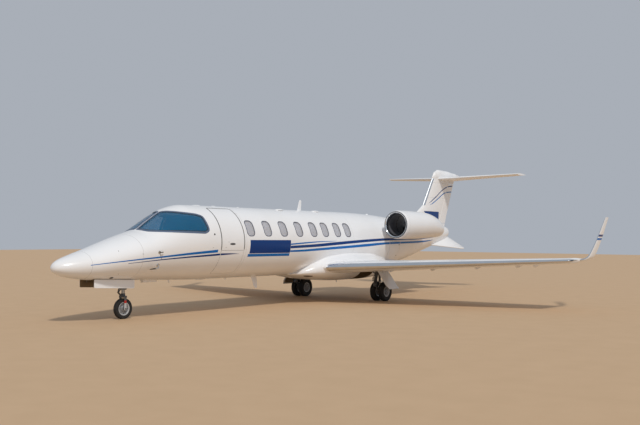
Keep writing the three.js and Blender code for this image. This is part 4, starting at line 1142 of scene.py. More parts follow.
for name, film, material, body in (
        ("left_blue_stripes", left_blues, blue_paint, "airframe"),
        ("right_blue_stripes", joined(blues + [stripe(AFT_BLUE)]).mirrored(), blue_paint,
         "airframe"),
        ("left_navy_stripes", navies, navy_paint, "airframe"),
        ("right_navy_stripes", (navies + door_navy).mirrored(), navy_paint, "airframe"),
        ("door_navy_stripe", door_navy, navy_paint, "lower_door"),
        ("baggage_door_blue_stripe", hatch_blue, blue_paint, "baggage_hatch")):
    make(name, film, [material], body, "white_paint", sharp=50)
print("stripe films:", 6)

# %% [markdown]
# ## The wing
#
# A wing is one symmetrical section stretched along a line from root to tip, so a span position
# and a place on the section give every point. The place is the square root of the chord fraction,
# signed: 0 is the leading edge, 1 the trailing edge on top, -1 below. That keeps the points dense
# round the nose, where the surface turns quickly. Flap and aileron bays, the spoiler's well and
# the wheel bay are cut out of the flat region before it is wrapped.

# %% Section and wing surface
SECTION = 1500.0  # flat length that stands for one unit of section place
WING = {  # at the aeroplane's middle and at the wing's tip
    "lead": (7600, 9812), "chord": (2900, 1200), "middle": (950, 1272), "thickness": (0.13, 0.11)}
WING_INNER, WING_TIP = 700.0, 7010.0
HINGE = 0.77
FLAP = {"inner": 1150, "outer": 4430}
AILERON = {"inner": 4480, "outer": 6600}
SPOILER = {"inner": 2350, "outer": 4150, "front": 0.63, "rear": 0.75, "thickness": 20, "well": 31}
END_GAP, MOVING_GAP = 12.0, 9.0
FLAP_SLANT = 0.1288  # a flap end runs square to the swept hinge line


def half_thickness(place, chord, thickness):
    """The four-digit section: half its depth at a signed place, with a 4 mm trailing edge."""
    p = np.abs(place)
    depth = 5 * thickness * chord * (0.2969 * p - 0.126 * p**2 - 0.3516 * p**4 + 0.2843 * p**6
                                     - 0.1015 * p**8)
    return np.sign(place) * (depth + 2 * p**2)


def wing_line(name, x):
    """A wing property at x: straight from root to tip."""
    root, tip = WING[name]
    return root + (tip - root) * np.asarray(x, float) / WING_TIP


def wing_row(x):
    """The wing's leading edge, chord, middle and thickness at x."""
    return [wing_line(name, x) for name in ("lead", "chord", "middle", "thickness")]


def section_point(row, across, v):
    """A point on any lifting surface in mm, from its row at a span position and a signed place
    on the section times SECTION: the span position, the y and the distance from the mid plane."""
    lead, chord, middle, thickness = row
    place = np.asarray(v, float) / SECTION
    out = middle + half_thickness(place, chord, thickness)
    return np.broadcast_arrays(across, at(lead + place**2 * chord), out)


@below
def wing(x, v):
    return np.stack(section_point(wing_row(x), x, v), -1) * MM


def place_for(station, lead, chord):
    """The flat coordinate of a station on the upper side of a section."""
    return np.sqrt(np.clip((station - lead) / chord, 0, 1)) * SECTION


def wing_place(x, station):
    return place_for(np.asarray(station, float), *wing_row(x)[:2])


def hinge_station(x):
    return wing_line("lead", x) + HINGE * wing_line("chord", x)


def straight(start, end, step=70.0):
    """Points from start up to, but not including, end."""
    start, end = np.asarray(start, float), np.asarray(end, float)
    count = max(1, int(np.linalg.norm(end - start) / step))
    return start + (end - start) * np.linspace(0, 1, count + 1)[:-1, None]


def rectangle(x0, y0, x1, y1, step=70.0):
    """A rectangle between two corners, with points along its sides."""
    corners = (x0, y0), (x1, y0), (x1, y1), (x0, y1)
    return np.vstack([straight(corners[i - 1], corners[i], step) for i in (1, 2, 3, 0)])


print("hinge at the wing tip: station", round(float(hinge_station(WING_TIP))))

# %% [markdown]
# The rear edge of the wing steps in and out round the flap and the aileron. The same stepped line
# bounds the top and the bottom skin, and a wall joins the two. In front of the aileron the wall is
# hollowed, so that the aileron's round nose can turn in it.

# %% Wing skin with its bays
def rear_edge():
    """The stepped rear edge as (x, station) corners from root to tip, and how deep the wall in
    front of each stretch is hollowed."""
    flap_in, flap_out = FLAP["inner"] - END_GAP, FLAP["outer"] + END_GAP
    ail_in, ail_out = AILERON["inner"] - END_GAP, AILERON["outer"] + END_GAP
    behind = lambda x: wing_line("lead", x) + wing_line("chord", x) - hinge_station(x)
    trail = lambda x: (x, hinge_station(x) + behind(x))
    hinge = lambda x, ahead=0.0: (x, hinge_station(x) - ahead)
    slanted = lambda x: trail(x - FLAP_SLANT * behind(x))
    return [(trail(WING_INNER), 0), (slanted(flap_in), 0), (hinge(flap_in), 14),
            (hinge(flap_out), 0), (slanted(flap_out), 0), (trail(ail_in), 0),
            (hinge(ail_in, 31), 42), (hinge(ail_out, 31), 0), (trail(ail_out), 0),
            (trail(WING_TIP), 0)]


def spaced_edge():
    """The rear edge with points along it, in flat coordinates, and each point's hollow."""
    corners = rear_edge()
    points, hollow = [], []
    for (start, depth), (end, _) in zip(corners[:-1], corners[1:]):
        stretch = straight(start, end)
        if depth:  # the hollow reaches its depth 4 mm from its ends
            step = unit(np.subtract(end, start)) * 4
            stretch = np.vstack([stretch[:1], start + step, stretch[1:], end - step])
        points.append(stretch)
        hollow += [0] + [depth] * (len(stretch) - 1)
    x, station = np.vstack(points + [[corners[-1][0]]]).T
    return np.column_stack([x, wing_place(x, station)]), np.array(hollow + [0])


def lifting_body(function, edge, hollow, span_lines, count, place_lines, holes=()):
    """A wing or fin: both skins in one piece within its rear edge, less some holes; the wall
    between the skins along that edge, bowed forwards by the hollow; and a flat face at each end."""
    ends, places = edge[[0, -1], 0], np.linspace(SECTION, -SECTION, count)
    tip, root = (np.column_stack([np.full(count - 2, end), line[1:-1]])
                 for end, line in zip(ends[::-1], (places, places[::-1])))
    outline = np.vstack([edge, tip, (edge * [1, -1])[::-1], root])
    grid = np.linspace(-SECTION, SECTION, place_lines)[1:-1]
    whole = skin(function, filled(outline, holes, span_lines, grid, 9))
    top, low = function(*edge.T), function(*(edge * [1, -1]).T)
    share = np.linspace(0, 1, 7)[:, None, None]
    wall = top + (low - top) * share
    wall[..., 1] -= (4 * share * (1 - share))[..., 0] * hollow * MM
    whole += surface(wall)
    return whole + joined(flat_face(function(np.full(count, end), places)) for end in ends)


def spoiler_region(grow_x=0.0, grow_v=0.0):
    low, high = (math.sqrt(SPOILER[key]) * SECTION for key in ("front", "rear"))
    return rectangle(SPOILER["inner"] - grow_x, low - grow_v, SPOILER["outer"] + grow_x,
                     high + grow_v)


WHEEL_BAY = {"inner": 720, "outer": 1545, "front": 9640, "rear": 9962, "top": 985}


def wheel_bay_loop():
    """The main leg's bay in the wing's underside, in flat coordinates."""
    x, station = rectangle(*(WHEEL_BAY[key] for key in ("inner", "front", "outer", "rear"))).T
    return np.column_stack([x, -wing_place(x, station)])


def lined(low, ceiling, finish=0):
    """A bay's lining: upright walls from its edge up to a flat ceiling, both closed."""
    high = low * [1, 1, 0] + [0, 0, ceiling * MM]
    return surface([low, high], wrap_columns=True, finish=finish) + flat_face(high, finish)


def wing_body():
    """The wing with its rear edge's bays, the spoiler's well and the main leg's bay."""
    spoiler_hole, bay_hole = spoiler_region(END_GAP, 5.5), wheel_bay_loop()
    whole = lifting_body(wing, *spaced_edge(), np.linspace(WING_INNER, WING_TIP, 64), 74, 76,
                         [spoiler_hole, bay_hole])
    floor_lines = [np.linspace(line.min(), line.max(), 8)[1:-1] for line in spoiler_hole.T]
    whole += surface([wing(*spoiler_hole.T, depth) for depth in (0, SPOILER["well"])],
                     wrap_columns=True)
    whole += skin(wing, filled(spoiler_hole, (), *floor_lines, 5), SPOILER["well"])
    return whole + lined(wing(*bay_hole.T), WHEEL_BAY["top"], 1)


print("points along the rear edge:", len(spaced_edge()[0]))

# %% [markdown]
# Under the wing, five slim fairings cover the flap's hinge arms. Each is a canoe: an ellipse whose
# width and depth follow a half wave from its pointed front to its blunt back.

# %% Hinge fairings
HINGE_FAIRINGS = (1950, 3200, 4455, 5550, 6000)


def hinge_fairing(x):
    share = np.linspace(0, 1, 22)
    station = hinge_station(x) - 520 + 512 * share
    profile = np.sin(math.pi * share**0.62) ** 0.7 * (1 - 0.25 * share)
    profile[[0, -1]] = 0.02, 0.03
    under = wing(np.full(22, x), -wing_place(x, station))[:, 2:] / MM
    profile, turn = profile[:, None], circle(20)
    return loft(np.stack(np.broadcast_arrays(
        x + 27 * profile * np.cos(turn), at(station)[:, None],
        under - 22 * profile + 62 * profile * np.sin(turn)), -1) * MM)


# Dark khaki for the bays and the doors' inner trays: partly primer, and partly painted shade with a
# painted reflection of the warm ground, as these insides look in shadow.
bay_primer_and_painted_shade = finish("khaki_primer_and_painted_bay_shade", "#6b5b43", "#7b6a50", 120, bump=(10, 0.3), Roughness=0.6)
whole_wing = wing_body()
for x in HINGE_FAIRINGS:
    whole_wing += hinge_fairing(x)
make_pair("wing", whole_wing, [wing_paint, bay_primer_and_painted_shade], slot="white_paint")
tell("wings")

# %% [markdown]
# The leading edge is bare polished aluminium, because hot air from the engines keeps ice off it
# and paint would not last. It is a thin shell over the wing's nose.

# %% Leading edge
polished_metal = finish("polished_bare_aluminium", "#cdd2d8", "#e2e4e6", 260, bump=(400, 0.6, 0.3),
                        gloss=(130, 0.10, 0.24), Metallic=1.0)
EDGE_UPPER, EDGE_LOWER = 0.212 * SECTION, -0.187 * SECTION
PROUD = -2.3  # mm, the depth of a metal shell: just outside the paint, past both meshes' facets


def band(function, start, end, low, high, top=-0.9, bottom=0.4, step=24, lines=14):
    """A film between two span positions and two places on a section."""
    along = np.linspace(start, end, max(8, int((end - start) / 40)))[1:-1]
    region = filled(rectangle(start, low, end, high, step), (), along,
                    np.linspace(low, high, lines)[1:-1], 4)
    return clad(function, region, top, bottom)


def metal_edge(function, inner, outer, high=EDGE_UPPER, low=EDGE_LOWER):
    """A polished shell over the nose of a wing or fin."""
    return band(function, inner, outer, low, high, PROUD, lines=24)


make_pair("wing_leading_edge", metal_edge(wing, 1000, WING_TIP), [polished_metal],
          slot="polished_metal", sharp=50)
print("wing points:", len(whole_wing.points))

# %% [markdown]
# ## Flaps, ailerons and spoilers
#
# Each control is the missing rear part of the wing's own section, closed by a rounded nose. A
# flap's ends run square to its hinge, so they slide past the wing when it lowers.

# %% Control surfaces
TRAIL_SLOPE = 0.07304  # how far the trailing edge runs aft for each millimetre of span


def control(row, hinge, spans, front=None, nose_reach=0.0, slant=0.0, rows=20):
    """A hinged rear part: a surface's own section behind its hinge line, in mm. row(x) gives the
    surface's row, hinge(x) the hinge's station, and the part starts at front behind the hinge, or
    else as far ahead of it as its nose is deep."""
    x0 = spans[:, None]
    lead, chord, _, thickness = row(x0)
    line = hinge(x0)
    trail = (lead + chord - line) / (1 + TRAIL_SLOPE * slant)
    if front is None:
        front = -half_thickness(np.sqrt((line - lead) / chord), chord, thickness)
    back = front + (trail - front) * (1 - np.cos(np.linspace(0, math.pi / 2, rows)))
    x = x0 - slant * back
    lead, chord, middle, thickness = row(x)
    place = place_for(np.maximum(line + back, line), lead, chord) / SECTION
    nose = np.clip((front + nose_reach - back) / nose_reach, 0, 1) if nose_reach else np.clip(
        back / front, 0, 1)
    half = half_thickness(place, chord, thickness) * np.sqrt(1 - nose**2)
    sides = [np.stack(np.broadcast_arrays(x, at(line + back), middle + side * half), -1)
             for side in (1, -1)]
    return np.hstack([sides[0], sides[1][:, ::-1]])


flap = control(wing_row, hinge_station, np.linspace(FLAP["inner"], FLAP["outer"], 26),
               MOVING_GAP, 70.0, FLAP_SLANT, 22)
aileron = control(wing_row, hinge_station,
                  np.linspace(AILERON["inner"], AILERON["outer"], 26), rows=22)
for name, loops in (("flap", flap), ("aileron", aileron)):
    make_pair(name, loft(loops * MM), [composite_paint], f"{{}}_{name}_body",
              slot="white_composite", sharp=40)
spoiler_lines = [np.linspace(line.min(), line.max(), 24)[1:-1] for line in spoiler_region().T]
spoiler = clad(wing, filled(spoiler_region(), (), *spoiler_lines, 5), 0, SPOILER["thickness"])
make_pair("spoiler", spoiler, [wing_paint], "{}_spoiler_body", slot="white_paint")
print("wing controls:", 6)

# %% [markdown]
# ## Winglets
#
# The wing's tip turns up into a blended winglet. Five sections set its path, chord and lean, and
# smooth curves through them make one continuous surface. Its two colour bands are films, as on the
# fuselage.

# %% Winglet
WINGLET = np.array([  # x, z, leading edge, chord, thickness, lean
    [7010.3, 1272, 10290, 722, 0.10, 0], [7090, 1290, 10480, 610, 0.10, 30],
    [7150, 1350, 10760, 500, 0.09, 70], [7185, 1500, 10965, 465, 0.08, 82],
    [7280.75, 2395, 11815, 260, 0.07, 84],
])
WINGLET_LENGTH = np.r_[0, np.cumsum(np.linalg.norm(np.diff(WINGLET[:, :3], axis=0), axis=1))]
WINGLET_TABLE = np.column_stack([WINGLET_LENGTH, WINGLET])


@below
def winglet(along, v):
    """Distance along the winglet's path, and signed place on the section times SECTION."""
    along, v = np.broadcast_arrays(np.asarray(along, float), np.asarray(v, float))
    rows = smooth_curves(WINGLET_TABLE, along.ravel())
    x, z, lead, chord, thickness, lean = (rows[:, i].reshape(along.shape) for i in range(6))
    place = v / SECTION
    up = half_thickness(place, chord, thickness) * 0.98
    lean = np.radians(lean)
    return np.stack([x - up * np.sin(lean), at(lead + place**2 * chord), z + up * np.cos(lean)],
                    -1) * MM


rows = np.concatenate([np.linspace(0, WINGLET_LENGTH[3], 22)[:-1],
                       np.linspace(WINGLET_LENGTH[3], WINGLET_LENGTH[4], 16)])
places = np.linspace(SECTION, -SECTION, 58)
winglet_body = loft(winglet(rows[:, None], places[None]))
make_pair("winglet", winglet_body, [composite_paint], slot="white_composite", sharp=40)
total = WINGLET_LENGTH[-1]
winglet_edge = metal_edge(winglet, 2, total - 12, 0.24 * SECTION, -0.22 * SECTION)
make_pair("winglet_leading_edge", winglet_edge, [polished_metal], slot="polished_metal", sharp=50)
straight_part = total - WINGLET_LENGTH[3]
for colour, paint, start in (("navy", navy_paint, 0.44), ("blue", blue_paint, 0.34)):
    start, end = WINGLET_LENGTH[3] + straight_part * np.array([start, start + 0.06])
    films = joined(band(winglet, start, end, low * SECTION, high * SECTION)
                   for low, high in ((0.245, 0.995), (-0.995, -0.225)))
    make_pair(f"winglet_{colour}_band", films, [paint], slot="white_composite", sharp=50)
tell("winglets")

# %% [markdown]
# The winglet is set back from the wing's leading edge. Ahead of it the wing ends in a rounded
# corner: the section shrinks and moves aft along a quarter ellipse. A clear lamp sits in the
# corner.

# %% Rounded wing tip
TIP_OUT, TIP_BACK = 72.0, 500.0


@below
def tip(u, v):
    """The wing tip's corner. u is an angle times its depth, 0 at the wing's own last section."""
    u, v = np.broadcast_arrays(np.asarray(u, float), np.asarray(v, float))
    turn, place = u / TIP_BACK, v / SECTION
    lead = WING["lead"][1] + TIP_BACK * (1 - np.cos(turn))
    chord = sum(end[1] for end in (WING["lead"], WING["chord"])) - lead
    full = WING["thickness"][1] * WING["chord"][1]
    up = half_thickness(place, 1.0, full) * np.cos(turn)
    out = TIP_OUT * np.sin(turn)
    return np.stack([WING_TIP + out, at(lead + place**2 * chord),
                     WING["middle"][1] + 0.2 * out + up], -1) * MM


tip_end = math.pi / 2 * TIP_BACK
cap = loft(tip(np.linspace(0, tip_end - 1, 18)[:, None], np.linspace(SECTION, -SECTION, 74)[None]))
make_pair("wing_tip", cap, [composite_paint], slot="white_composite", sharp=50)
make_pair("wing_tip_leading_edge", metal_edge(tip, 0, 0.93 * tip_end), [polished_metal],
          slot="polished_metal", sharp=50)
lamp_glass = finish("smoked_clear_lamp_lens", "#39424c", "#46505b", 20, Roughness=0.05, IOR=1.49,
                    Coat_Weight=0.5)
make_pair("wing_lamp", band(tip, 0.32 * tip_end, 0.6 * tip_end, -0.11 * SECTION, 0.11 * SECTION,
                            PROUD - 0.8, -1.5), [lamp_glass], slot="window_glass", sharp=50)
print("winglet length:", round(total), "mm")

# %% [markdown]
# ## The wing to body fairing
#
# Where the wing passes below the cabin a deep fairing smooths the corner and houses the main
# wheels. Its sections are squared ovals, a superellipse, between eleven rows of width, bottom and
# top. The wheel wells are open from below and from the side. Their walls are dark khaki: partly
# primer, partly painted shade.

# %% Fairing
FAIRING = np.array([  # station, half width, bottom, top
    [7200, 180, 800, 826], [7300, 400, 784, 840], [7350, 560, 772, 918], [7488, 710, 742, 1022],
    [7725, 860, 695, 1166], [8300, 1000, 622, 1384], [9300, 1040, 572, 1481],
    [10300, 1030, 575, 1460], [11100, 930, 640, 1290], [11800, 720, 790, 1120],
    [12350, 500, 1010, 1060],
], float)
SQUARENESS = 2 / 2.7
FAIRING_GIRTH = 900.0


@below
def fairing(station, girth):
    """A station, and an angle times FAIRING_GIRTH from the left side's widest line."""
    station, girth = np.broadcast_arrays(np.asarray(station, float), np.asarray(girth, float))
    rows = smooth_curves(FAIRING, station.ravel())
    half, bottom, top = (rows[:, i].reshape(station.shape) for i in range(3))
    across, up = np.cos(girth / FAIRING_GIRTH), np.sin(girth / FAIRING_GIRTH)
    x = half * np.sign(across) * np.abs(across) ** SQUARENESS
    z = (top + bottom) / 2 + (top - bottom) / 2 * np.sign(up) * np.abs(up) ** SQUARENESS
    return np.stack([x, at(station), z], -1) * MM


def fairing_girths(x=None, z=None, station=9900.0):
    """The girth where the left side's lower half reaches an x or a z."""
    half, bottom, top = smooth_curves(FAIRING, [station])[0]
    if x is not None:
        return -math.acos((x / half) ** (1 / SQUARENESS)) * FAIRING_GIRTH
    share = ((top + bottom) / 2 - z) / ((top - bottom) / 2)
    return -math.asin(share ** (1 / SQUARENESS)) * FAIRING_GIRTH


def well_outline():
    """The left wheel well's edge on the fairing."""
    ends = BELLY_BAY["front"], BELLY_BAY["rear"]
    return rounded([(s, fairing_girths(x=BELLY_BAY["near"], station=s)) for s in ends]
                   + [(s, fairing_girths(z=975, station=s)) for s in ends[::-1]], 4, 45)


def fairing_body():
    """The skin less the two wheel wells, the lined wells and a flat face at each end."""
    half_round = math.pi * FAIRING_GIRTH
    along = np.linspace(FAIRING[0, 0], FAIRING[-1, 0], 80)
    round_ = np.linspace(-1.5 * half_round, 0.5 * half_round, 81)
    well = well_outline()
    other = well * [1, -1] - [0, half_round]
    region = filled(grid_outline(along, round_), [well, other], along[1:-1], round_[1:-1])
    lining = lined(fairing(*well.T), BELLY_BAY["top"], 1)
    ends = joined(flat_face(fairing(np.full(80, s), round_[:-1])) for s in along[[0, -1]])
    return skin(fairing, region) + lining + lining.mirrored() + ends


fairing_piece = fairing_body()
make("wing_fairing", fairing_piece, [composite_paint, bay_primer_and_painted_shade], slot="white_composite")
turn = circle(28)
inlet = np.column_stack([7610 + 120 * np.cos(turn) * (1 + 0.3 * np.sin(turn)),
                         math.radians(-47) * FAIRING_GIRTH + 150 * np.sin(turn)])
inlet_region = filled(inlet, (), np.linspace(7500, 7720, 8), np.linspace(-900, -560, 14), 8)
# A flat dark brown film stands for the belly air inlet's opening: painted shade where the recess
# would be.
inlet_painted_shade = finish("dark_painted_shade_of_air_inlet", "#3b2f26", "#4d3f34", 12, Roughness=0.6)
make_pair("belly_air_inlet", clad(fairing, inlet_region, -1.2, 0.5), [inlet_painted_shade],
          slot="dark_trim", sharp=50)
print("fairing points:", len(fairing_piece.points))

# %% [markdown]
# ## The T-tail
#
# The fin rises from a long fillet on the tail cone, and carries the stabiliser on its tip inside a
# bullet fairing. Fin and stabiliser are the same kind of surface as the wing, each with a bay for
# its hinged rear part. One function makes any such surface from a table of sections.

# %% Tail surfaces
STABILISER = np.array([[0, 15760, 1440, 3935, 0.09], [2640, 16850, 710, 4075, 0.09]])
ELEVATOR = {"inner": 210, "outer": 2520, "fraction": 0.70}
FIN = np.array([  # height, leading edge, chord, thickness
    [2150, 13550, 2820, 0.07], [2560, 14150, 2370, 0.085], [2730, 14470, 2125, 0.09],
    [2950, 14830, 1865, 0.10], [3935, 15495, 1640, 0.10]])
RUDDER = {"low": 2370, "high": 3780, "hinge": (15935, 16600), "gap": 20}


def tail_row(x):
    """The stabiliser's leading edge, chord, middle and thickness at x."""
    share = (np.asarray(x, float) / STABILISER[1, 0])[..., None]
    rows = STABILISER[0, 1:] + (STABILISER[1, 1:] - STABILISER[0, 1:]) * share
    return np.moveaxis(rows, -1, 0)


def fin_row(z):
    """The same for the fin at a height: straight between the table's rows, its middle at x = 0."""
    lead, chord, thickness = (np.interp(z, FIN[:, 0], FIN[:, i]) for i in (1, 2, 3))
    return lead, chord, 0.0, thickness


@below
def stabiliser(x, v):
    x, v = np.broadcast_arrays(x, v)
    return np.stack(section_point(tail_row(x), x, v), -1) * MM


@below
def fin(z, v):
    """The fin lies on its side: its left face takes the positive places."""
    z, v = np.broadcast_arrays(z, v)
    return np.stack(section_point(fin_row(z), z, v)[::-1], -1) * MM


def tail_surface(function, row, hinge, ahead, bay, ends, depth, lines):
    """A lifting surface whose rear bay, between two spans, has its edge this far ahead of the
    hinge and is hollowed by this depth."""
    def nose(span):
        return float(place_for(hinge(span) - ahead, *row(span)[:2]))

    inner, outer = bay
    spans = np.r_[inner, inner + 4, np.arange(inner + 45, outer - 20, 45), outer - 4]
    stretches = [((ends[0], SECTION), (inner, SECTION)), ((inner, SECTION), (inner, nose(inner))),
                 ((outer, nose(outer)), (outer, SECTION)), ((outer, SECTION), (ends[1], SECTION))]
    sides = [straight(*stretch, 45) for stretch in stretches]
    sides.insert(2, [(span, nose(span)) for span in spans])
    edge = np.vstack(sides + [[(ends[1], SECTION)]])
    hollow = np.where((edge[:, 0] > inner + 1) & (edge[:, 0] < outer - 1), depth, 0.0)
    return lifting_body(function, edge, hollow, np.linspace(*ends, lines)[1:-1], 62, 62)


def elevator_hinge(x):
    lead, chord, _, _ = tail_row(x)
    return lead + ELEVATOR["fraction"] * chord


def rudder_hinge(z):
    low, high = RUDDER["hinge"]
    return low + (high - low) * (z - RUDDER["low"]) / (RUDDER["high"] - RUDDER["low"])


tail_half = tail_surface(stabiliser, tail_row, elevator_hinge, 22,
                         (ELEVATOR["inner"] - END_GAP, ELEVATOR["outer"] + END_GAP),
                         STABILISER[:, 0], 30, 36)
tail_plane = tail_half + tail_half.mirrored()
fin_body = tail_surface(fin, fin_row, rudder_hinge, 36,
                        (RUDDER["low"] - RUDDER["gap"], RUDDER["high"] + RUDDER["gap"]),
                        FIN[[0, -1], 0], 56, 34)
elevator = control(tail_row, elevator_hinge, np.linspace(ELEVATOR["inner"], ELEVATOR["outer"], 24))
rudder = control(fin_row, rudder_hinge, np.linspace(RUDDER["low"], RUDDER["high"], 22))
make("fin", fin_body, [tail_paint], slot="white_paint")
make("rudder", loft(rudder[..., ::-1] * MM), [composite_paint], "rudder_body", "white_composite",
     sharp=40)
make_pair("elevator", loft(elevator * MM), [composite_paint], "{}_elevator_body",
          slot="white_composite", sharp=40)
tell("fin, rudder and elevators")

# %% [markdown]
# The bullet is a smooth pod round the joint of fin and stabiliser: ovals whose centre, width and
# height follow smooth curves. The fin's polished edge is a thin shell again, with a blue-grey line
# of sealant behind it.

# %% Bullet and metal edges
BULLET = np.array([  # station, half width, half height, middle
    [15500, 2, 6, 3972], [15530, 26, 55, 3975], [15680, 75, 150, 4040], [15900, 110, 189, 4079],
    [16500, 120, 168, 4088], [17050, 92, 111, 4101], [17480, 22, 26, 4136], [17500, 2, 4, 4137]])


def bullet():
    stations = np.concatenate([15500 + 400 * np.linspace(0, 1, 14)[:-1] ** 1.6,
                               np.linspace(15900, 17480, 26), [17492, 17500]])
    half, height, middle = smooth_curves(BULLET, stations).T[:, :, None]
    turn = circle(32)
    return loft(np.stack(np.broadcast_arrays(half * np.cos(turn), at(stations)[:, None],
                                             middle + height * np.sin(turn)), -1) * MM)


make("stabiliser", tail_plane + bullet(), [tail_paint], slot="white_paint")
satin_metal = finish("satin_bare_aluminium", "#c4cad2", "#d6dade", 260, gloss=(130, 0.36, 0.44),
                     Metallic=1.0)
make("fin_leading_edge", metal_edge(fin, 2950, 3930, 0.20 * SECTION, -0.20 * SECTION),
     [satin_metal], slot="polished_metal", sharp=50)
edge_lines = joined(band(fin, 2950, 3930, low * SECTION, high * SECTION, lines=3)
                    for low, high in ((0.201, 0.218), (-0.218, -0.201)))
make("fin_edge_lines", edge_lines, [windshield_frame_finish], slot="dark_trim", sharp=50)
tell("stabiliser")

# %% [markdown]
# The fin carries a blank navy plate and two thin lines that sweep up across the rudder. They are
# films again, cut where the rudder starts so that each half rides its own body.

# %% Fin stripes
FIN_PLATE = [(14795, 2757, 2745), (15250, 2757, 2360), (15885, 2757, 2360), (15925, 2757, 2600)]
FIN_NAVY = [(15087, 3024), (15275, 3098), (15439, 3186), (15715, 3326), (15995, 3484),
            (16165, 3562), (16337, 3626), (16510, 3674), (16700, 3708), (17010, 3740)]
FIN_BLUE = [(15195, 2987), (15330, 3019), (15494, 3088), (15827, 3243), (16165, 3396),
            (16337, 3451), (16510, 3486), (16950, 3520)]


def fin_film(rows, start, end, lines=4):
    """A film on the fin's left face: rows of a station, the top and the bottom height in mm."""
    stations = np.linspace(start, end, max(6, int((end - start) / 30)))
    top, low = smooth_curves(np.array(rows, float), stations).T
    z = top[:, None] + (low - top)[:, None] * np.linspace(0, 1, lines)
    v = place_for(stations[:, None], *fin_row(z)[:2])
    outer, inner = (fin(z, v, depth) for depth in (-1.2, 0.4))
    return loft(np.concatenate([outer, inner[:, ::-1]], axis=1))


def fin_line(middles):
    """The line's film on the fin and its film on the rudder: 38 mm deep, pointed at the front."""
    depths = [1, 24] + [38] * (len(middles) - 2)
    rows = [(s, z + depth / 2, z - depth / 2) for (s, z), depth in zip(middles, depths)]
    places = np.arange(16300, 16900, 5.0)
    heights = smooth_curves(np.array(middles, float), places)[:, 0]
    joint = places[np.argmax(places > rudder_hinge(heights) + 8)]
    return fin_film(rows, rows[0][0], joint - 60), fin_film(rows, joint, rows[-1][0] - 15)


plate_film = fin_film(FIN_PLATE, FIN_PLATE[0][0], 15882, 12)
for colour, paint, middles in (("navy", navy_paint, FIN_NAVY), ("blue", blue_paint, FIN_BLUE)):
    fixed, moving = fin_line(middles)
    if colour == "navy":
        fixed += plate_film
    for name, film, body, slot in (("fin", fixed, "airframe", "white_paint"),
                                   ("rudder", moving, "rudder_body", "white_composite")):
        make(f"{name}_{colour}_stripes", film + film.mirrored(), [paint], body, slot, sharp=50)
tell("fin stripes")

# %% [markdown]
# Two ventral fins under the tail cone keep the aeroplane steady at high angles. Each is a thin
# slab with a bevelled edge.

# %% Ventral fins
VENTRAL = (330, 14450, 1600), (190, 16250, 1860), (800, 16400, 1450)  # root front, rear, tip


def ventral_fin():
    """The slab lies in the plane of its root line and tip: u runs along the root, v outwards."""
    front, rear, tip = (np.array([x, at(s), z], float) for x, s, z in VENTRAL)
    along = unit(rear - front)
    normal = unit(np.cross(along, tip - front))
    out = np.cross(normal, along)
    root_u, (tip_u, tip_v) = (rear - front) @ along, ((tip - front) @ along, (tip - front) @ out)
    outline = rounded([(150, -130), (root_u + 40, -130), (tip_u + 60, tip_v - 30),
                       (tip_u - 60, tip_v), (0, 0)], 18, 90)
    edge = (-17, 10), (-11, 2.5), (-5, 0), (5, 0), (11, 2.5), (17, 10)
    return stacked(outline, edge, lambda ring, lift:
                   front + ring[:, :1] * along + ring[:, 1:] * out + lift * normal)


make_pair("ventral_fin", ventral_fin(), [composite_paint], slot="white_composite", sharp=50)
tell("ventral fins")

# %% [markdown]
# ## Engines
#
# A nacelle is a turned body with a polished inlet lip, a dark lined duct and, a forearm's length
# inside it, the fan: twenty-two twisted blades round a pointed spinner. Behind the fan stand the
# guide vanes and the core, whose hot nozzle shows inside the round exhaust. Everything is turned
# about the engine's axis; only the blades need a formula of their own.

# %% Engine finishes
ENGINE_X, ENGINE_Z = 1350.0, 2210.0
duct_liner = finish("grey_perforated_duct_liner", "#626368", "#73747a", 60, bump=(8, 0.4),
                    Roughness=0.42, Metallic=0.2)
duct_seal = finish("dark_grey_inlet_ring", "#37383c", "#46474c", 60, Roughness=0.5)
fan_titanium = finish("brushed_titanium_fan_blade", "#b0b1b5", "#cbccce", 45, gloss=(20, 0.26, 0.4),
                      Metallic=0.8)
hot_steel = finish("heat_tinted_nozzle_steel", "#6d655c", "#8f877e", 160, gloss=(60, 0.32, 0.5),
                   detail=4.0, Metallic=1.0)
spinner_paint = finish("grey_spinner_enamel", "#6f7175", "#7e8084", 60, Roughness=0.35)
print("finishes so far:", len(bpy.data.materials))

# %% Nacelle, lip and duct
COWL = np.array([[11050, 430], [11350, 434], [12000, 424], [12600, 398], [13090, 336],
                 [13400, 265], [13510, 224]], float)
DUCT = np.array([[11050, 325], [11605, 345], [12400, 330], [13090, 255], [13400, 228],
                 [13510, 204]], float)
DROOP = {"from": 12500, "to": 13510, "depth": 112}
ENGINE_PLACE = {"x": ENGINE_X, "z": ENGINE_Z}


def drooped(shape):
    """The engine's rear bends down: its axis drops with the square of the way between two
    stations."""
    start, end = at(DROOP["from"]), at(DROOP["to"])
    share = np.maximum(0, (shape.points[:, 1] / MM - start) / (end - start))
    points = shape.points.copy()
    points[:, 2] -= DROOP["depth"] * MM * share**2
    return Shape(points, shape.groups, shape.normals)


def engine_profile(table, start, end, count):
    """(radius, y) pairs in mm along a smooth curve through a table of (station, radius)."""
    stations = np.linspace(start, end, count)
    return np.column_stack([smooth_curves(table, stations)[:, 0], at(stations)])


def lip_profile():
    """The lip's half ellipse between the duct's radius and the cowl's, from the inside round the
    front to the outside."""
    turn = np.linspace(math.pi / 2, -math.pi / 2, 27)
    return np.column_stack([377.5 - 52.5 * np.sin(turn), at(11050 - 149 * np.cos(turn) ** 0.9)])


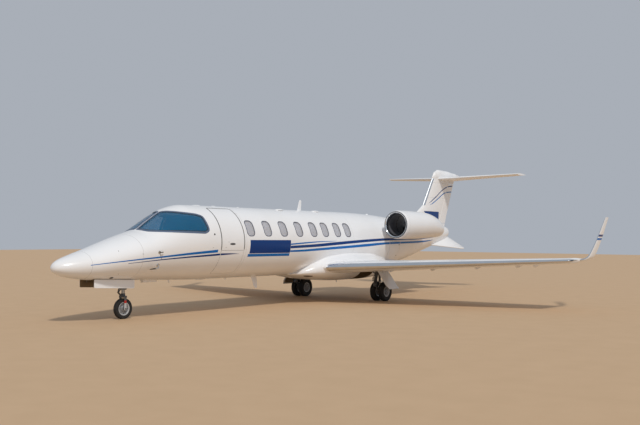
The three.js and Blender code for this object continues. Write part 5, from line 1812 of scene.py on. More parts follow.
cowl = engine_profile(COWL, 11052, 13510, 46)
duct = engine_profile(DUCT, 13510, 11052, 36)
nacelle = drooped(turned(np.vstack([cowl, duct]), 72, [0] * 45 + [1] * 37, closed=True))
case_ring = turned([(336, at(11436)), (346, at(11436)), (346, at(11450)), (336, at(11450))],
                   72, 2, closed=True)
make_pair("nacelle", (nacelle + case_ring).moved(**ENGINE_PLACE),
          [composite_paint, duct_liner, polished_metal], slot="white_composite", sharp=50)
lip = np.vstack([lip_profile(), [[429, at(11047)], [326, at(11047)]]])
LIP_FINISHES = [1] * 3 + [0] * 10 + [1] * 4 + [2] * 11 + [1]  # seal, metal, seal, paint, seal
make_pair("inlet_lip", turned(lip, 72, LIP_FINISHES, closed=True).moved(**ENGINE_PLACE),
          [polished_metal, duct_seal, composite_paint], slot="polished_metal", sharp=50)
tell("nacelles")

# %% Fan
FAN_FRONT, FAN_REAR = 11330, 11590
BLADES = 22


def fan_blade():
    """One blade: a thin curved section whose angle to the axis grows from hub to tip."""
    radius = np.linspace(88, 320, 9)[:, None]
    share = (radius - 88) / 232
    angle = np.radians(28 + 34 * share)
    t = np.linspace(0, 1, 7)[None]
    across = (t - 0.5) * (118 + 26 * share)
    bow = 12 * np.sin(math.pi * t) * (1 - 0.5 * share)
    thick = 3.4 * np.sin(math.pi * np.clip(t, 0.02, 0.98)) ** 0.6 * (1.2 - share * 0.6)
    faces = [np.stack(np.broadcast_arrays(across * np.sin(angle) + up * np.cos(angle),
                                          at(11500) + across * np.cos(angle) - up * np.sin(angle),
                                          radius), -1) for up in (bow + thick, bow - thick)]
    return loft(np.hstack([faces[0], faces[1][:, ::-1]]) * MM)


def ring_of(shape, count, offset=0.0):
    """Copies of a shape evenly round the Y axis."""
    turns = (2 * math.pi * (i + offset) / count for i in range(count))
    return joined(shape.turned_by(Matrix.Rotation(turn, 3, "Y")) for turn in turns)


spinner = [(0.5, FAN_FRONT), (14, 11336), (34, 11356), (56, 11390), (76, 11432), (90, 11475),
           (95, 11500), (96, FAN_REAR), (0.5, FAN_REAR)]
fan = ring_of(fan_blade(), BLADES) + turned([(r, at(s)) for r, s in spinner], 40, 1)
make_pair("fan", fan.moved(**ENGINE_PLACE), [fan_titanium, spinner_paint], "{}_fan_body",
          slot="fan_metal", sharp=30)
tell("fans")

# %% Guide vanes, core and nozzle
def guide_vanes():
    """Straight vanes behind the fan, from the core out to the duct."""
    return ring_of(block((-2.5, at(11690), 246), (2.5, at(11800), 338)), 30, 0.5)


CORE = [(0.5, 11662), (60, 11662), (180, 11666), (244, 11680), (250, 11700), (253, 12250),
        (240, 12500), (205, 12860), (167, 13125), (163, 13138), (153, 13133), (130, 13060),
        (92, 13062), (88, 13160), (60, 13320), (22, 13415), (0.5, 13430)]
engine_core = turned([(radius, at(station)) for radius, station in CORE], 56)
make_pair("engine_core", drooped(engine_core + guide_vanes()).moved(**ENGINE_PLACE), [hot_steel],
          slot="engine_steel", sharp=35)
tell("engine cores")

# %% [markdown]
# A pylon is a short thick stub wing between the fuselage and the nacelle. It runs a little way into
# the hull and ends half way through the nacelle's wall, so no gap shows and the duct stays clear.

# %% Pylons
PYLON = np.array([[350, 11290, 2150, 2200, 0.075], [1100, 11410, 1900, 2200, 0.075]])


def pylon(share, place):
    """Sections between the two rows. share runs from the hull, 0, to the middle of the nacelle's
    wall, 1, whose distance from the engine's axis changes with the station."""
    share, place = np.broadcast_arrays(share, place)
    lead, chord, middle, thickness = (
        PYLON[0, i] + (PYLON[1, i] - PYLON[0, i]) * share for i in range(1, 5))
    station = lead + place**2 * chord
    wall = (smooth_curves(COWL, station.ravel()) + smooth_curves(DUCT, station.ravel())) / 2
    end = ENGINE_X - wall.reshape(station.shape)
    return np.stack([PYLON[0, 0] + (end - PYLON[0, 0]) * share, at(station),
                     middle + half_thickness(place, chord, thickness)], -1) * MM


pylon_body = loft(pylon(np.linspace(0, 1, 14)[:, None], np.linspace(1, -1, 60)[None]))
make_pair("pylon", pylon_body, [composite_paint], slot="white_paint", sharp=40)
print("fan blades:", BLADES)

# %% [markdown]
# ## Wheels
#
# A tyre and a rim are turned shapes, with circumferential grooves cut into the tread's profile. The
# rim's face has a ring of lightening holes, each a raised edge round a short black plug: painted
# shade where the open hole would be. A ring of bolts sits between them. Each is modelled once and
# turned round the axle.

# %% Gear finishes
tyre_rubber = finish("matt_tyre_rubber", "#1b1b1c", "#2b2a29", 60, bump=(5, 0.4), detail=4.0,
                     Roughness=0.86)
rim_enamel = finish("light_grey_wheel_enamel", "#b4b6b8", "#c8cacc", 70, Roughness=0.38,
                    Metallic=0.25)
disc_enamel = finish("dark_grey_wheel_enamel", "#787a7e", "#898b8f", 70, Roughness=0.45,
                     Metallic=0.2)
gear_enamel = finish("grey_landing_gear_enamel", "#4e5155", "#63666a", 90, bump=(12, 0.2),
                     detail=4.0, Roughness=0.42, Metallic=0.15)
chrome = finish("hard_chrome_piston", "#a4a8ae", "#b4b8be", 30, gloss=(30, 0.07, 0.2), Metallic=1.0)
bare_steel = finish("cadmium_plated_steel", "#6f6f6c", "#93928d", 18, Metallic=1.0, Roughness=0.45)
# Black for the hoses, and also for the wheels' hole plugs, where it is painted shade.
black_hose_and_hole_shade = finish("black_hydraulic_hose_and_painted_hole_shade", "#17181a", "#26272a", 15, bump=(3, 0.3), Roughness=0.55)
red_band = finish("red_tow_limit_enamel", "#a52018", "#b92a20", 30, Roughness=0.35)
GEAR_FINISHES = [gear_enamel, bare_steel, chrome, black_hose_and_hole_shade, red_band, rim_enamel]
ENAMEL, STEEL, CHROME, HOSE, RED, PALE = range(6)
print("finishes so far:", len(bpy.data.materials))

# %% Wheel
def tyre(outer, half_width, rim, grooves):
    """A tyre's closed profile as (radius, across): flat tread, round shoulders, bulged sidewalls
    and beads that sit on the rim. Grooves are narrow steps in the tread."""
    bead, bulge = rim + 12, outer - 0.42 * (outer - rim)
    side = [(rim - 4, -0.62), (bead, -0.80)]
    side += [(bead + (bulge - bead) * k, -0.80 - 0.20 * math.sin(k * math.pi / 2))
             for k in (0.35, 0.7, 1.0)]
    side += [(bulge + (outer - bulge) * math.sin(a), -0.66 - 0.34 * math.cos(a))
             for a in np.linspace(0, math.pi / 2, 9)[1:]]
    side = [(r, across * half_width) for r, across in side]
    tread = [(outer - deep, middle + across) for middle in grooves
             for deep, across in ((0, -4), (7, -2.4), (7, 2.4), (0, 4))]
    return side + tread + [(r, -across) for r, across in reversed(side)]


def across_axle(shape):
    """A shape turned about Y, laid along X, as an axle is."""
    return shape.turned_by(Matrix.Rotation(-math.pi / 2, 3, "Z"))


def wheel(outer, w, rim, holes, grooves=(-21, 0, 21)):
    """Tyre, rim, bolts and bearing cap round the X axis at the origin; w is the half width. The
    rim has a pale edge and a darker disc, which carries the holes: black plugs as painted shade."""
    face = [(rim - 3, -w * 0.63), (rim + 9, -w * 0.80), (rim + 3, -w * 0.84), (rim - 8, -w * 0.78),
            (rim - 16, -w * 0.50), (rim * 0.62, -w * 0.40), (rim * 0.47, -w * 0.58),
            (rim * 0.40, -w * 0.78), (rim * 0.20, -w * 0.80)]
    edge = [1] * 4 + [4] * 4
    parts = [turned(tyre(outer, w, rim, grooves), 64, 0, closed=True),
             turned(face + [(r, -x) for r, x in reversed(face)], 56, edge + [4] + edge[::-1] + [1],
                    closed=True)]
    ring = turned([(rim * r, y) for r, y in ((0.12, -2), (0.15, -2), (0.15, 3), (0.12, 3))], 14, 1,
                  closed=True)
    # Each hole is a raised ring round a short black plug: painted shade in place of an open hole.
    hole = ring + rod((0, -1.5, 0), (0, 1.2, 0), rim * 0.119, sides=14, finish=3)
    for side in (-1, 1):
        bolt = rod((0, 0, 0), (0, side * 7, 0), rim * 0.035, sides=6, finish=2)
        cap = [(0.5, 0.92), (rim * 0.13, 0.90), (rim * 0.17, 0.84), (rim * 0.18, 0.78), (0.5, 0.76)]
        parts += [ring_of(hole.moved(0, side * w * 0.455, rim * 0.72), holes),
                  ring_of(bolt.moved(0, side * w * 0.60, rim * 0.50), holes, 0.5),
                  turned([(r, side * w * across) for r, across in cap], 24, 2)]
    return across_axle(joined(parts))


WHEEL_FINISHES = [tyre_rubber, rim_enamel, bare_steel, black_hose_and_hole_shade, disc_enamel]
NOSE_WHEEL = {"station": 1807, "z": 225.79}
MAIN_WHEEL = {"station": 9949, "x": 1456, "z": 275.96}
RIM, HALF_SPACING = 140, 140
nose_wheel = wheel(NOSE_WHEEL["z"], 56, RIM, 8, (-17, 17))
nose_wheel = nose_wheel.moved(0, at(NOSE_WHEEL["station"]), NOSE_WHEEL["z"])
make("nose_wheel", nose_wheel, WHEEL_FINISHES, "nose_wheel_body", "tyre_rubber")
one = wheel(MAIN_WHEEL["z"], 73, RIM, 9)
sleeve = rod((-HALF_SPACING, 0, 0), (HALF_SPACING, 0, 0), 34, sides=24, finish=2)
pair = one.moved(-HALF_SPACING) + one.moved(HALF_SPACING) + sleeve
pair = pair.moved(MAIN_WHEEL["x"], at(MAIN_WHEEL["station"]), MAIN_WHEEL["z"])
make_pair("main_wheels", pair, WHEEL_FINISHES, "{}_main_wheels_body", slot="tyre_rubber")
print("wheels:", 5)

# %% [markdown]
# ## Landing gear
#
# The nose wheel turns on a fork under an oil strut, steered through a pair of scissor links, which
# ride with the fork as the real ones do. Each main leg is a trailing link: a forged post, a link
# that swings from its foot, and a shock absorber with a chromed piston between them. Forgings are
# round bars whose radius changes along a route.

# %% Bars and turned posts
def forging(route, radii, sides=18, finish=ENAMEL):
    """A bar along a route with its own radius at each point."""
    return pipe(route, radii, sides, finish, clear_axis(route, 1))


def upright(profile, sides=32, finish=ENAMEL, closed=False):
    """A body turned about the Z axis from (radius, height) pairs."""
    return turned(profile, sides, finish, closed).turned_by(Matrix.Rotation(math.pi / 2, 3, "X"))


def side_view(corners, radius):
    """A round-cornered outline as (y, z) points, from corners as stations and heights."""
    return rounded([(at(station), z) for station, z in corners], radius, 60)


def smooth_route(points, count=26):
    """A smooth route through a few points, by steady distance along them."""
    points = np.asarray(points, float)
    length = np.r_[0, np.cumsum(np.linalg.norm(np.diff(points, axis=0), axis=1))]
    return smooth_curves(np.column_stack([length, points]), np.linspace(0, length[-1], count))


def round_bar(start, end, radius, lip=0.0, finish=ENAMEL, sides=20):
    """A bar with a small chamfer at both ends."""
    start, end = np.asarray(start, float), np.asarray(end, float)
    cut = unit(end - start) * max(lip, 0.15 * radius)
    return forging([start, start + cut, end - cut, end],
                   [0.82 * radius, radius, radius, 0.82 * radius], sides, finish)


def cross_bar(half, y, z, radius, finish=ENAMEL):
    """A chamfered bar that lies across, from -half to half."""
    return round_bar((-half, y, z), (half, y, z), radius, finish=finish)


print("a route of 3 points is smoothed to", len(smooth_route([(0, 0, 0), (0, 1, 1), (0, 2, 3)])))

# %% Nose gear
def nose_strut():
    """The fixed part: cylinder, trunnion, collar, drag braces and the steering unit."""
    post = upright([(1, 1258), (50, 1258), (56, 1250), (56, 742), (61, 738), (61, 732), (74, 728),
                    (74, 648), (70, 641), (45, 641), (1, 641)])
    parts = [post, cross_bar(196, 0, 1130, 30)]
    for x in (-60, 60):
        parts.append(round_bar((x, -20, 800), (x, -560, 1225), 16))
        parts.append(round_bar((x / 60 * 44, -10, 800), (x / 60 * 80, -10, 800), 20, finish=STEEL))
        parts.append(round_bar((x, -22, 712), (x, -118, 712), 21, finish=STEEL))
        parts.append(rod((x, -118, 712), (x, -134, 712), 10, finish=CHROME))
    bolts = 66 * np.column_stack([np.cos(circle(10)), np.sin(circle(10))])
    parts += [rod((x, y, 728), (x, y, 736), 6, sides=6, finish=STEEL) for x, y in bolts]
    hose = [(58, 10, 1120), (66, 26, 1040), (64, 30, 940), (60, 34, 840), (62, 36, 760),
            (62, 40, 712)]
    return joined(parts) + pipe(smooth_route(hose), 6, 8, HOSE)


FORK_BLADE = (  # (height, half depth, half width) rows from the top down, and their finish
    (((503, 32, 11), (470, 32, 11), (408, 28, 10.5)), ENAMEL),
    (((408, 30, 11.5), (350, 28, 11.5)), RED),
    (((350, 27, 10.5), (262, 30, 11), (NOSE_WHEEL["z"] + 8, 32, 11), (NOSE_WHEEL["z"] - 24, 27, 11),
      (NOSE_WHEEL["z"] - 33, 14, 9)), PALE))


def nose_fork():
    """What steers: piston, crown, two blades with a red band, axle, scissor links, tow pins."""
    axle = NOSE_WHEEL["z"]
    parts = [upright([(1, 631), (36, 631), (40, 626), (40, 560), (1, 560)], finish=CHROME),
             upright([(1, 560), (47, 560), (47, 520), (52, 512), (52, 470), (1, 470)])]
    crown = np.array([[-94, -34], [-82, -45], [82, -45], [94, -34], [94, 34], [82, 45], [-82, 45],
                      [-94, 34]], float)
    rings = [upward()(crown * scale, z)
             for scale, z in ((0.94, 467), (1, 471), (1, 500), (0.93, 507))]
    parts.append(loft(np.array(rings) * MM))
    turn = circle(20)
    wide, deep = (np.sign(wave) * np.abs(wave) ** power
                  for wave, power in ((np.cos(turn), 0.5), (np.sin(turn), 0.6)))
    for side in (-1, 1):
        for rows, colour in FORK_BLADE:
            blade = [upward()(np.column_stack([side * 83 + wide * width, deep * depth]), z)
                     for z, depth, width in rows]
            parts.append(loft(np.array(blade) * MM, colour))
        parts.append(rod((side * 93.2, 0, axle), (side * 101, 0, axle), 20, sides=6, finish=STEEL))
        parts.append(rod((side * 72, 0, 440), (side * 96, 0, 440), 14, finish=STEEL))
    parts.append(cross_bar(92, 0, axle, 16, STEEL))
    knee = -132, 584
    for end, wide in (((-92, 668), 27), ((-44, 497), 24)):
        parts += [forging([(side * wide, *end), (side * (wide - 12), *knee)], [13, 11], 10)
                  for side in (-1, 1)]
        parts.append(cross_bar(34, *end, 10, STEEL))
    parts.append(cross_bar(26, *knee, 10, STEEL))
    parts.append(upright([(78, 655), (85, 655), (85, 682), (78, 682)], 40, closed=True))
    return joined(parts)


for name, shape, body in (("strut", nose_strut(), "airframe"), ("fork", nose_fork(), "nose_fork")):
    make(f"nose_gear_{name}", shape.moved(y=at(NOSE_WHEEL["station"])), GEAR_FINISHES, body,
         "gear_steel", sharp=38)
tell("nose gear")

# %% [markdown]
# The bay doors are shallow trays: a smooth skin outside, and inside a frame round pressed panels.
# Curved arms carry them from the bay's edge.

# %% Nose bay and its doors
NOSE_DOOR = {"near": 232, "far": 254,
             "outline": [(850, 724), (1915, 672), (1915, 862), (850, 905)]}
NOSE_BAY_TOP = 1235.0


TRAY = (1, 0), (-5, 3), (-6, 12)  # a pressed panel: how far out each ring lies, and its inset


def nose_door():
    """The left door: a white skin over an inside of three pressed panels, in dark khaki that is
    primer with painted shade.
    """
    outline = side_view(NOSE_DOOR["outline"], 22)
    near, far = NOSE_DOOR["near"], NOSE_DOOR["far"]
    door = stacked(outline, ((near, 3), (near + 3, 0.5), (near + 9.5, 0.5)), sideways, 2)
    door += stacked(outline, ((near + 9, 0), (far - 5, 0), (far, 4)), sideways)
    for start, end in ((885, 1205), (1235, 1545), (1575, 1880)):
        low = [724 - (station - 850) * 0.0488 + 22 for station in (start, end)]
        panel = rounded([(at(start), low[0]), (at(end), low[1]), (at(end), 832), (at(start), 842)],
                        18, 60)
        door += stacked(panel, [(near + out, inset) for out, inset in TRAY], sideways, 2)
    for y in stations_to_y(1010, 1420, 1830):
        arm = smooth_route([(236, y, 820), (214, y, 860), (204, y, 905), (196, y, 930)], 9)
        door += pipe(arm, 9, 10, 1)
    return door


def nose_bay():
    """The bay's lining: walls up from the hull's own edge, and a roof."""
    edge = nose_bay_outline()
    low = hull(edge[:, 0], edge[:, 1], 2.0)
    high = low * [1, 1, 0] + [0, 0, NOSE_BAY_TOP * MM]
    front = edge[:, 0] < 1080
    high[front, 2] = np.minimum(high[front, 2], (1120 + (edge[front, 0] - 870) * 0.5) * MM)
    return surface([low, high], wrap_columns=True) + flat_face(high)


door_layers = [composite_paint, bare_steel, bay_primer_and_painted_shade]
make_pair("nose_gear_door", nose_door(), door_layers, slot="white_composite", sharp=40)
make("nose_bay_lining", nose_bay(), [bay_primer_and_painted_shade], slot="gear_steel")
tell("nose bay and doors")

# %% Main legs
def main_leg():
    """The left leg, about the point on the ground's plane below the wheels' axle middle."""
    axle = MAIN_WHEEL["z"]
    post = forging([(0, -190, 965), (0, -206, 900), (0, -240, 740), (0, -272, 596), (0, -290, 520),
                    (0, -300, 470)], [44, 48, 44, 42, 48, 46])
    link = forging([(0, -300, 470), (0, -250, 436), (0, -150, 368), (0, -70, axle + 36),
                    (0, -30, axle + 12)], [44, 36, 34, 40, 42])
    parts = [post, round_bar((0, -309, 925), (0, -10, 925), 40), cross_bar(55, -300, 470, 46)]
    parts += [rod((x, -300, 470), (x * 62 / 55, -300, 470), 24, sides=6, finish=STEEL)
              for x in (-55, 55)]
    top, foot = np.array([0, -90, 930.0]), np.array([0, -50, axle + 60])
    slope = unit(top - foot)
    split = foot + slope * 230
    parts += [link, cross_bar(55, 0, axle, 68),
              forging([foot, foot + slope * 30, foot + slope * 34, split], [30, 30, 21, 21],
                      finish=CHROME),
              forging([split - slope * 14, split, split + slope * 6, top - slope * 20, top],
                      [30, 36, 36, 36, 30]),
              cross_bar(46, -50, axle + 70, 22, STEEL)]
    for side in (-1, 1):
        route = [(side * 30, -196, 930), (side * 52, -240, 760), (side * 54, -285, 560),
                 (side * 66, -270, 430), (side * 52, -160, 350), (side * 58, -60, axle + 66),
                 (side * 52, -20, axle + 60)]
        parts.append(pipe(smooth_route(route, 34), 6, 8, HOSE))
    for side, middle, size in ((-1, 640, 46), (1, 560, 38)):
        turn = np.linspace(0.5, 2 * math.pi + 0.3, 16)
        loop = np.column_stack([side * 34 + 8 * np.cos(turn), -352 - size * np.sin(turn),
                                middle + size * np.cos(turn)])
        route = [(side * 30, -262, middle + 150), *loop, (side * 40, -250, middle - 170)]
        parts.append(pipe(smooth_route(route, 40), 8, 8, HOSE))
    brace = [(-330, -120, 940), (-200, -150, 860), (-60, -196, 770), (-20, -210, 740)]
    parts += [pipe(smooth_route(brace, 12), 17, 14), cross_bar(40, -236, 742, 15, STEEL)]
    return joined(parts)


leg = main_leg().moved(MAIN_WHEEL["x"], at(MAIN_WHEEL["station"]))
make_pair("main_gear_leg", leg, GEAR_FINISHES, slot="gear_steel", sharp=38)
tell("main legs")

# %% Main leg doors
LEG_DOOR = {"top": (1588, 885), "bottom": (1950, 365),
            "outline": [(9560, 900), (9560, 480), (9640, 365), (10120, 365), (10080, 900)]}


def leg_door():
    """A tray like the nose door, leaning outwards: x follows its height."""
    (x0, z0), (x1, z1) = LEG_DOOR["top"], LEG_DOOR["bottom"]

    def leaning(ring, out):
        return sideways(ring, x0 + (ring[:, 1] - z0) * (x1 - x0) / (z1 - z0) + out)

    outline = side_view(LEG_DOOR["outline"], 26)
    door = stacked(outline, ((-12, 3), (-9, 0), (7, 0), (12, 4)), leaning)
    for panel in ([(9610, 640), (10050, 640), (10040, 840), (9610, 840)],
                  [(9675, 400), (10070, 400), (10055, 610), (9605, 610), (9605, 505)]):
        panel = side_view(panel, 24)
        door += stacked(panel, [(out - 12, inset) for out, inset in TRAY], leaning, 2)
    door += round_bar((1514, at(9745), 830), (1640, at(9745), 830), 16, finish=1)
    for y in stations_to_y(9640, 9880):
        door += pipe(smooth_route([(1580, y, 880), (1566, y, 905), (1562, y, 960)], 6), 10, 10, 1)
    return door


make_pair("main_gear_door", leg_door(), door_layers, slot="white_composite", sharp=40)
tell("main leg doors")

# %% [markdown]
# ## Antennas, probes and static wicks
#
# The small fittings are what makes the hull look real: blade antennas, domes, an air data vane and
# its probe on each side of the nose, drains under the belly, and the thin static wicks on the
# trailing edges.

# %% Fitting finishes
dark_plastic = finish("black_glass_filled_nylon", "#1d1e20", "#2d2e31", 10, Roughness=0.5)
FITTING_FINISHES = [composite_paint, dark_plastic, polished_metal]
PAINTED, DARK, BRIGHT = range(3)
print("finishes so far:", len(bpy.data.materials))

# %% Antennas and drains
def blade_antenna(x, station, base, tip, chord, sweep, thickness=20):
    """A fin-shaped antenna: rows of a pointed oval that shrink and slide aft towards the tip."""
    turn, rings = circle(28), []
    for share in (0, 0.5, 0.85, 0.95, 0.99, 1.0):
        end = max(share - 0.9, 0.0)
        width = chord * (1 - 0.45 * share) * (1 - 4 * end)
        depth = thickness * (1 - 0.5 * share) * (1 - 6 * end)
        oval = np.column_stack([x + np.sin(turn) * depth / 2 * (1 + 0.35 * np.cos(turn)),
                                at(station) + sweep * share - np.cos(turn) * width / 2])
        rings.append(upward(base)(oval, (tip - base) * share))
    plinth = stacked(grown(rings[0][:, :2], 12), ((-6, 0), (4, 0)), upward(base))
    return loft(np.array(rings) * MM) + plinth


def dome(x, station, base, radius, height, length=1.0):
    """A low round dome: rings of a quarter ellipse."""
    turn = circle(32)
    rings = []
    for a in np.linspace(0, math.pi / 2, 8):
        size = radius * max(math.cos(a), 0.01)
        oval = np.column_stack([x + size * np.cos(turn),
                                at(station) + size * length * np.sin(turn)])
        rings.append(upward(base)(oval, height * math.sin(a)))
    return loft(np.array([rings[0] - [0, 0, 12]] + rings) * MM)


def roof_base(station, x=0.0):
    """The height of the hull over an x near the crown."""
    top, _, half, wide = hull_rows(station)
    return wide + (top - wide) * math.sqrt(1 - (x / half) ** 2)


DOMES = [  # x, station, radius, height, length factor
    (0, 3980, 70, 16, 1.9), (0, 4560, 50, 14, 1.5), (0, 5450, 34, 14, 1.3),
    (210, 6830, 95, 30, 1.5), (180, 8440, 95, 30, 1.5), (0, 8780, 42, 16, 1.2),
    (0, 11360, 40, 34, 1.2)]
roof = blade_antenna(0, 7960, roof_base(7960) - 2, 2860, 175, 60)
for x, station, radius, height, length in DOMES:
    roof += dome(x, station, roof_base(station, x) - 3, radius, height, length)
make("roof_antennas", roof, FITTING_FINISHES, slot="white_composite", sharp=38)


def belly_patch(station, half_length, half_width, drop=14):
    """A shallow faired plate under the keel."""
    low = hull_rows(station)[1]
    outline = sector(-half_width, half_width, at(station) - half_length, at(station) + half_length,
                     0.6 * half_width, 40)
    return stacked(outline, ((10, 0), (-2, 0), (-drop * 0.7, 6), (-drop, 16)), upward(low))


belly = blade_antenna(0, 6080, 792, 480, 215, 90, 24)
belly += belly_patch(2530, 215, 55, 50) + belly_patch(4130, 120, 55)
for x, station, base, tip in ((0, 3120, 810, 735), (0, 5000, 790, 738), (325, 9300, 592, 522)):
    belly += blade_antenna(x, station, base, tip, 60, 24, 14)
make("belly_fittings", belly, FITTING_FINISHES, slot="white_composite", sharp=38)
tell("antennas and drains")

# %% Probes and small marks on the nose
def on_hull(station, height, raise_=0.0):
    """A point on the left side of the hull in mm, and the outward direction there."""
    girth = girth_at(station, height)
    place = np.array([station], float), girth, -raise_
    return hull(*place)[0] / MM, normal_of(hull, *place)[0]


def stub(station, height, radius, tall, finish=DARK):
    """A short round boss that stands square to the hull."""
    point, normal = on_hull(station, height)
    return round_bar(point - normal * 3, point + normal * tall, radius, 0.2 * radius, finish, 24)


def probe():
    """An L-shaped tube: a short mast out of the hull, then a tapered head that points forwards."""
    point, normal = on_hull(2195, 1188)
    knee = point + normal * 80 + np.array([0, -70, -26.0])
    tip = knee + np.array([2, -215, -18.0])
    head = [knee + (tip - knee) * share for share in (0.0, 0.3, 0.8, 1.0)]
    mast = smooth_route([point - normal * 4, point + normal * 30 + [0, -10, -6], *head[:2]], 12)
    head = forging(head, [15, 15, 11, 7], 14, DARK)
    return pipe(mast, 16, 12, BRIGHT) + head + stub(2195, 1188, 40, 3, BRIGHT)


def vane():
    """A wedge that swings on a round plate, with its drain line down the skin."""
    point, normal = on_hull(2158, 1467)
    plate_ = stub(2158, 1467, 34, 4, BRIGHT)
    arm = point + normal * 46
    blade_ = forging([arm + [0, 20, 0], arm + [0, 62, 4], arm + [0, 84, 6]], [7, 11, 5], 12, DARK)
    pin = round_bar(point, arm + [0, 22, 0], 8, finish=DARK)
    heights = np.linspace(1440, 1298, 8)
    line = [on_hull(2166 + (1440 - z) * 0.64, z, 1.5)[0] for z in heights]
    return plate_ + pin + blade_ + pipe(line, 3.2, 6, DARK)


nose_marks = probe() + vane()
for station, height, radius in ((1240, 1501, 9), (1749, 1434, 8), (1231, 930, 40), (1300, 1010, 8)):
    nose_marks += stub(station, height, radius, 1.6, DARK)
make_pair("nose_probes", nose_marks, FITTING_FINISHES, slot="dark_trim", sharp=38)
make("side_static_ports",
     joined([stub(3755, 1870, 22, 1.5, DARK), stub(3700, 1560, 7, 1.2, DARK)]), FITTING_FINISHES,
     slot="dark_trim", sharp=38)
tell("probes")

# %% Static wicks
def wicks(function, spans, length):
    """Thin rods that trail from a surface's rear edge."""
    ends = [function(np.array([span]), np.array([SECTION]))[0] / MM for span in spans]
    return joined(forging([end + [0, -12, 0], end, end + [0, length, -2]], [4.5, 4.0, 2.0], 6, DARK)
                  for end in ends)


make_pair("wing_static_wicks", wicks(wing, (6720, 6860, 6960), 115), FITTING_FINISHES,
          slot="dark_trim")
make_pair("tail_static_wicks", wicks(stabiliser, (1500, 1750, 2000), 78), FITTING_FINISHES,
          "{}_elevator_body", slot="dark_trim")
tell("static wicks")

# %% [markdown]
# ## Cockpit and cabin
#
# The windshield and the open door show the inside, so it is furnished: a panel with four screens
# under a hood, a pedestal with thrust levers, two pilots' seats and eight club seats. A seat is
# leather over foam. Its pads are crowned cushions: a squared ball whose faces bulge most in the
# middle, with sewn channels pressed into it as shallow waves.

# %% Interior finishes
def leather(name, low, high):
    """Leather: a colour that drifts, under a grain of small closed cells."""
    material = finish(name, low, high, 90, Roughness=0.5, Sheen_Weight=0.15)
    cells = add_node(material, "ShaderNodeTexVoronoi", Vector=place_of(material), Scale=420.0)
    connect(material, Normal=bumped(material, cells.outputs["Distance"], 0.4, 0.5))
    return material


seat_leather = leather("smooth_grained_cream_leather", "#b5a78f", "#c7baa3")
pilot_leather = leather("dark_blue_grey_seat_leather", "#2f3a4a", "#3d495a")
panel_vinyl = finish("matt_charcoal_panel_vinyl", "#1f2226", "#2b2e33", 12, bump=(3, 0.3),
                     Roughness=0.8)
panel_grey = finish("grey_instrument_panel_enamel", "#555a60", "#63686e", 25, Roughness=0.5)
screen_glass = finish("dark_display_glass", "#0b1420", "#14304a", 140, Roughness=0.08, IOR=1.5)
walnut = shader("varnished_walnut_veneer", Roughness=0.22, Coat_Weight=0.5)
figure = add_node(walnut, "ShaderNodeTexWave", {"bands_direction": "X"}, Vector=place_of(walnut),
                  Scale=9.0, Distortion=7.0, Detail=3.0)
connect(walnut, Base_Color=blended(walnut, figure.outputs["Fac"], linear("#3f2414"),
                                   linear("#6b4226")))
carpet = finish("cut_pile_wool_carpet", "#7c6f60", "#94877a", 6, bump=(4, 2.0, 0.7), Roughness=0.95,
                Sheen_Weight=0.3)
NODES["cabin_floor"].data.materials.clear()
NODES["cabin_floor"].data.materials.append(carpet)
print("finishes so far:", len(bpy.data.materials))

# %% Padded pieces
def cushion(low, high, crown, channels=0, squareness=0.30, rows=18, columns=28):
    """A stuffed pad between two corners in mm. A squared ball gives the form: each coordinate is
    a sine or cosine raised to a small power, so the edges are round and the sides pull in. Its
    top then rises by the crown, and channels press cosine grooves across it."""
    low, high = np.asarray(low, float), np.asarray(high, float)
    middle, half = (low + high) / 2, (high - low) / 2
    up = np.linspace(-math.pi / 2, math.pi / 2, rows)[:, None]
    around = circle(columns)[None]
    power = lambda value, p: np.sign(value) * np.abs(value) ** p
    x = power(np.cos(up), squareness) * power(np.cos(around), squareness)
    y = power(np.cos(up), squareness) * power(np.sin(around), squareness)
    z = power(np.sin(up), squareness + 0.15) * np.ones_like(x)
    bulge = (1 - x**2) * (1 - y**2)
    thickness = 1 + crown * bulge
    if channels:
        thickness -= 0.05 * np.abs(np.cos(x * channels * math.pi / 2)) ** 6
    z = z * thickness / (1 + crown)
    pull = 1 - 0.035 * (1 - np.abs(z))
    return surface(np.stack([middle[0] + half[0] * x * pull, middle[1] + half[1] * y * pull,
                             middle[2] + half[2] * z], -1) * MM, wrap_columns=True)


def seat(x, station, base, facing, pilot=False):
    """A seat as (frame shape, pads shape). facing is 1 for the nose, -1 for the tail. The CAD's
    slabs give the pads' limits: from front to back, height above the base, and half width."""
    def box(near, far, low, high, half, aside=0.0):
        y0, y1 = sorted(at(station) + facing * way for way in (near, far))
        return (x + aside - half, y0, base + low), (x + aside + half, y1, base + high)

    frame_ = block(*box(-166, 186, 0, 150, 150)) + block(*box(-196, 216, 150, 196, 172))
    pads = cushion(*box(-248, 190, 200, 348, 228 if pilot else 170), crown=0.18, channels=3)
    pads += cushion(*box(172, 288, 332, 846, 205), crown=0.16, channels=4, squareness=0.26)
    pads += cushion(*box(182, 268, 856, 1008, 130), crown=0.2)
    posts = (200, 230) if facing > 0 else (210, 240)
    for side in (-1, 1):
        if not pilot:
            pads += cushion(*box(-170, 250, 205, 395, 28, side * 205), crown=0.1, squareness=0.22)
        frame_ += block(*box(*posts, 800, 880, 8, side * 60))
    return frame_, pads


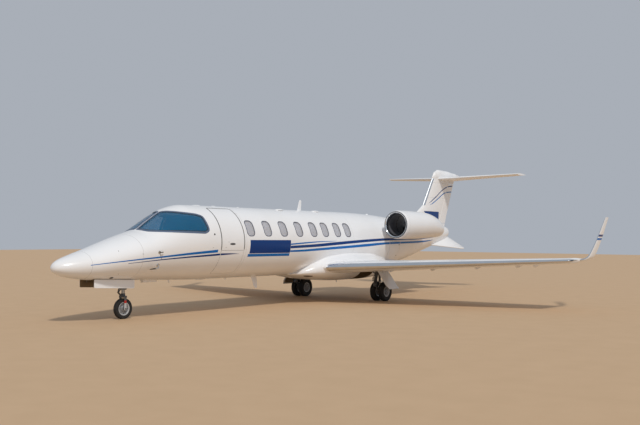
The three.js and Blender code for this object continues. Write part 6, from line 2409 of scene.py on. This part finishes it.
SEAT_STATIONS = ((5560, -1), (6760, 1), (7560, -1), (8760, 1))
SEAT_BASE = {"cabin": 1106, "cockpit": 985.6}
for side, side_name, pilot_name in ((1, "left", "pilot_seat"), (-1, "right", "copilot_seat")):
    cabin = [seat(side * 430, station, SEAT_BASE["cabin"], facing)
             for station, facing in SEAT_STATIONS]
    cockpit = [seat(side * 330, 3260, SEAT_BASE["cockpit"], 1, pilot=True)]
    for frame_name, name, seats, hide in (
            (f"{side_name}_cabin_seat_frames", f"{side_name}_cabin_seats", cabin, seat_leather),
            (f"{pilot_name}_frame", pilot_name, cockpit, pilot_leather)):
        frames, pads = (joined(shapes) for shapes in zip(*seats))
        make(frame_name, frames, [panel_grey], slot="dark_trim", bevel=3)
        pads = make(name, pads, [hide], slot="seat_leather", sharp=60, smooth=1)
tell("seats")

# %% Instrument panel and pedestal
PANEL_HALF = 640.0


def slab_across(corners, half, round_, finish=0):
    """A body with this side view, extended across the cockpit to a half width, with its side edges
    rounded off by drawing in the last few millimetres."""
    outline = side_view(corners, round_)
    edge = (-half, 5), (-half + 6, 0), (half - 6, 0), (half, 5)
    return stacked(outline, edge, sideways, finish)


def instrument_panel():
    """The panel with four framed screens and a row of knobs under its hood; the pedestal with two
    thrust levers and nine small knobs; two control columns with their wheels."""
    front = lambda z: at(2480) - (z - 1180) / 650 * 50
    panel = slab_across([(2330, 1190), (2478, 1190), (2436, 1760), (2150, 1760)],
                        PANEL_HALF - 40, 12, 1)
    panel += slab_across([(2070, 1745), (2492, 1752), (2470, 1800), (2080, 1826)], PANEL_HALF, 18)
    panel.points[:, 0] *= np.interp(panel.points[:, 1] / MM, [at(2070), at(2492)], [0.62, 1.0])
    on_front = lambda ring, out: np.column_stack([ring[:, 0], front(ring[:, 1]) + out, ring[:, 1]])
    for x, half in ((-425, 125), (-140, 118), (140, 118), (425, 125)):
        for grow, out, finish in ((12, 5, 0), (0, 8, 2)):
            outline = sector(x - half - grow, x + half + grow, 1500 - grow, 1690 + grow, 10, 60)
            panel += stacked(outline, ((-6, 0), (out, 0)), on_front, finish)
    for x in range(-300, 300, 46):
        panel += rod((x, front(1440) - 2, 1440), (x, front(1440) + 12, 1440), 8, sides=10)
    pedestal = slab_across([(2410, 990), (3140, 990), (3140, 1318), (2410, 1468)], 75, 16, 1)
    top = lambda s: 1468 - (s - 2410) / 730 * 150
    for x in (-22, 22):
        base = np.array([x, at(2700), top(2700) - 5])
        panel += forging([base, base + [0, -12, 70], base + [0, -16, 88]], [5, 5, 5], 8, 0)
        panel += round_bar(base + [-12, -16, 92], base + [12, -16, 92], 12, finish=0)
    for station in (2850, 2950, 3050):
        for x in (-44, 0, 44):
            base = np.array([x, at(station), top(station) - 2])
            panel += round_bar(base, base + [0, 4, 16], 10, finish=0)
    for x in (-330, 330):
        column = [(x, at(2560), 1010), (x, at(2600), 1200), (x, at(2660), 1330)]
        grip = [(x + dx, at(s), z) for dx, s, z in ((-130, 2650, 1440), (-120, 2668, 1360),
                (0, 2676, 1330), (120, 2668, 1360), (130, 2650, 1440))]
        panel += pipe(smooth_route(column, 8), 17, 12) + pipe(smooth_route(grip, 22), 13, 10)
    return panel + pedestal


make("instrument_panel", instrument_panel(), [panel_vinyl, panel_grey, screen_glass],
     slot="dark_trim", sharp=38)
tell("instrument panel")

# %% Bulkheads, side ledges and ceiling
def bulkhead(station, depth):
    """A wall right across the cabin, just inside the lining."""
    ring = hull(np.full(72, station), RING[:-1], depth)
    return loft([ring, ring + [0, 22 * MM, 0]])


make("cabin_bulkheads", bulkhead(9340, 84) + bulkhead(1975, 84), [cabin_lining], slot="dark_trim",
     sharp=38)
ledge = block((640, at(5200), 1330), (790, at(9200), 1350))
make("cabin_side_ledges", ledge + ledge.mirrored(), [walnut], slot="dark_trim", bevel=4)
tell("bulkheads and ledges")

# %% Steps on the lower door
def door_steps():
    """Two treads on the inside of the lower door: short shelves that follow its curve."""
    middles = [float(girth_at(4365, height)[0]) for height in (1180, 1010)]
    return joined(hull_patch(sector(4100, 4640, middle - 55, middle + 55, 20, 60), (),
                             CABIN_LINING_DEPTH + 4, CABIN_LINING_DEPTH - 6, step=60)
                  for middle in middles)


make("entry_door_steps", door_steps(), [bare_steel], "lower_door", "dark_trim", sharp=38)
tell("door steps")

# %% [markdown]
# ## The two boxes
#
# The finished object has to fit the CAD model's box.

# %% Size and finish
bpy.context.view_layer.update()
({"cad": [list(corner) for corner in CAD_BOX],
           "visual": [list(corner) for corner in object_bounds()]})
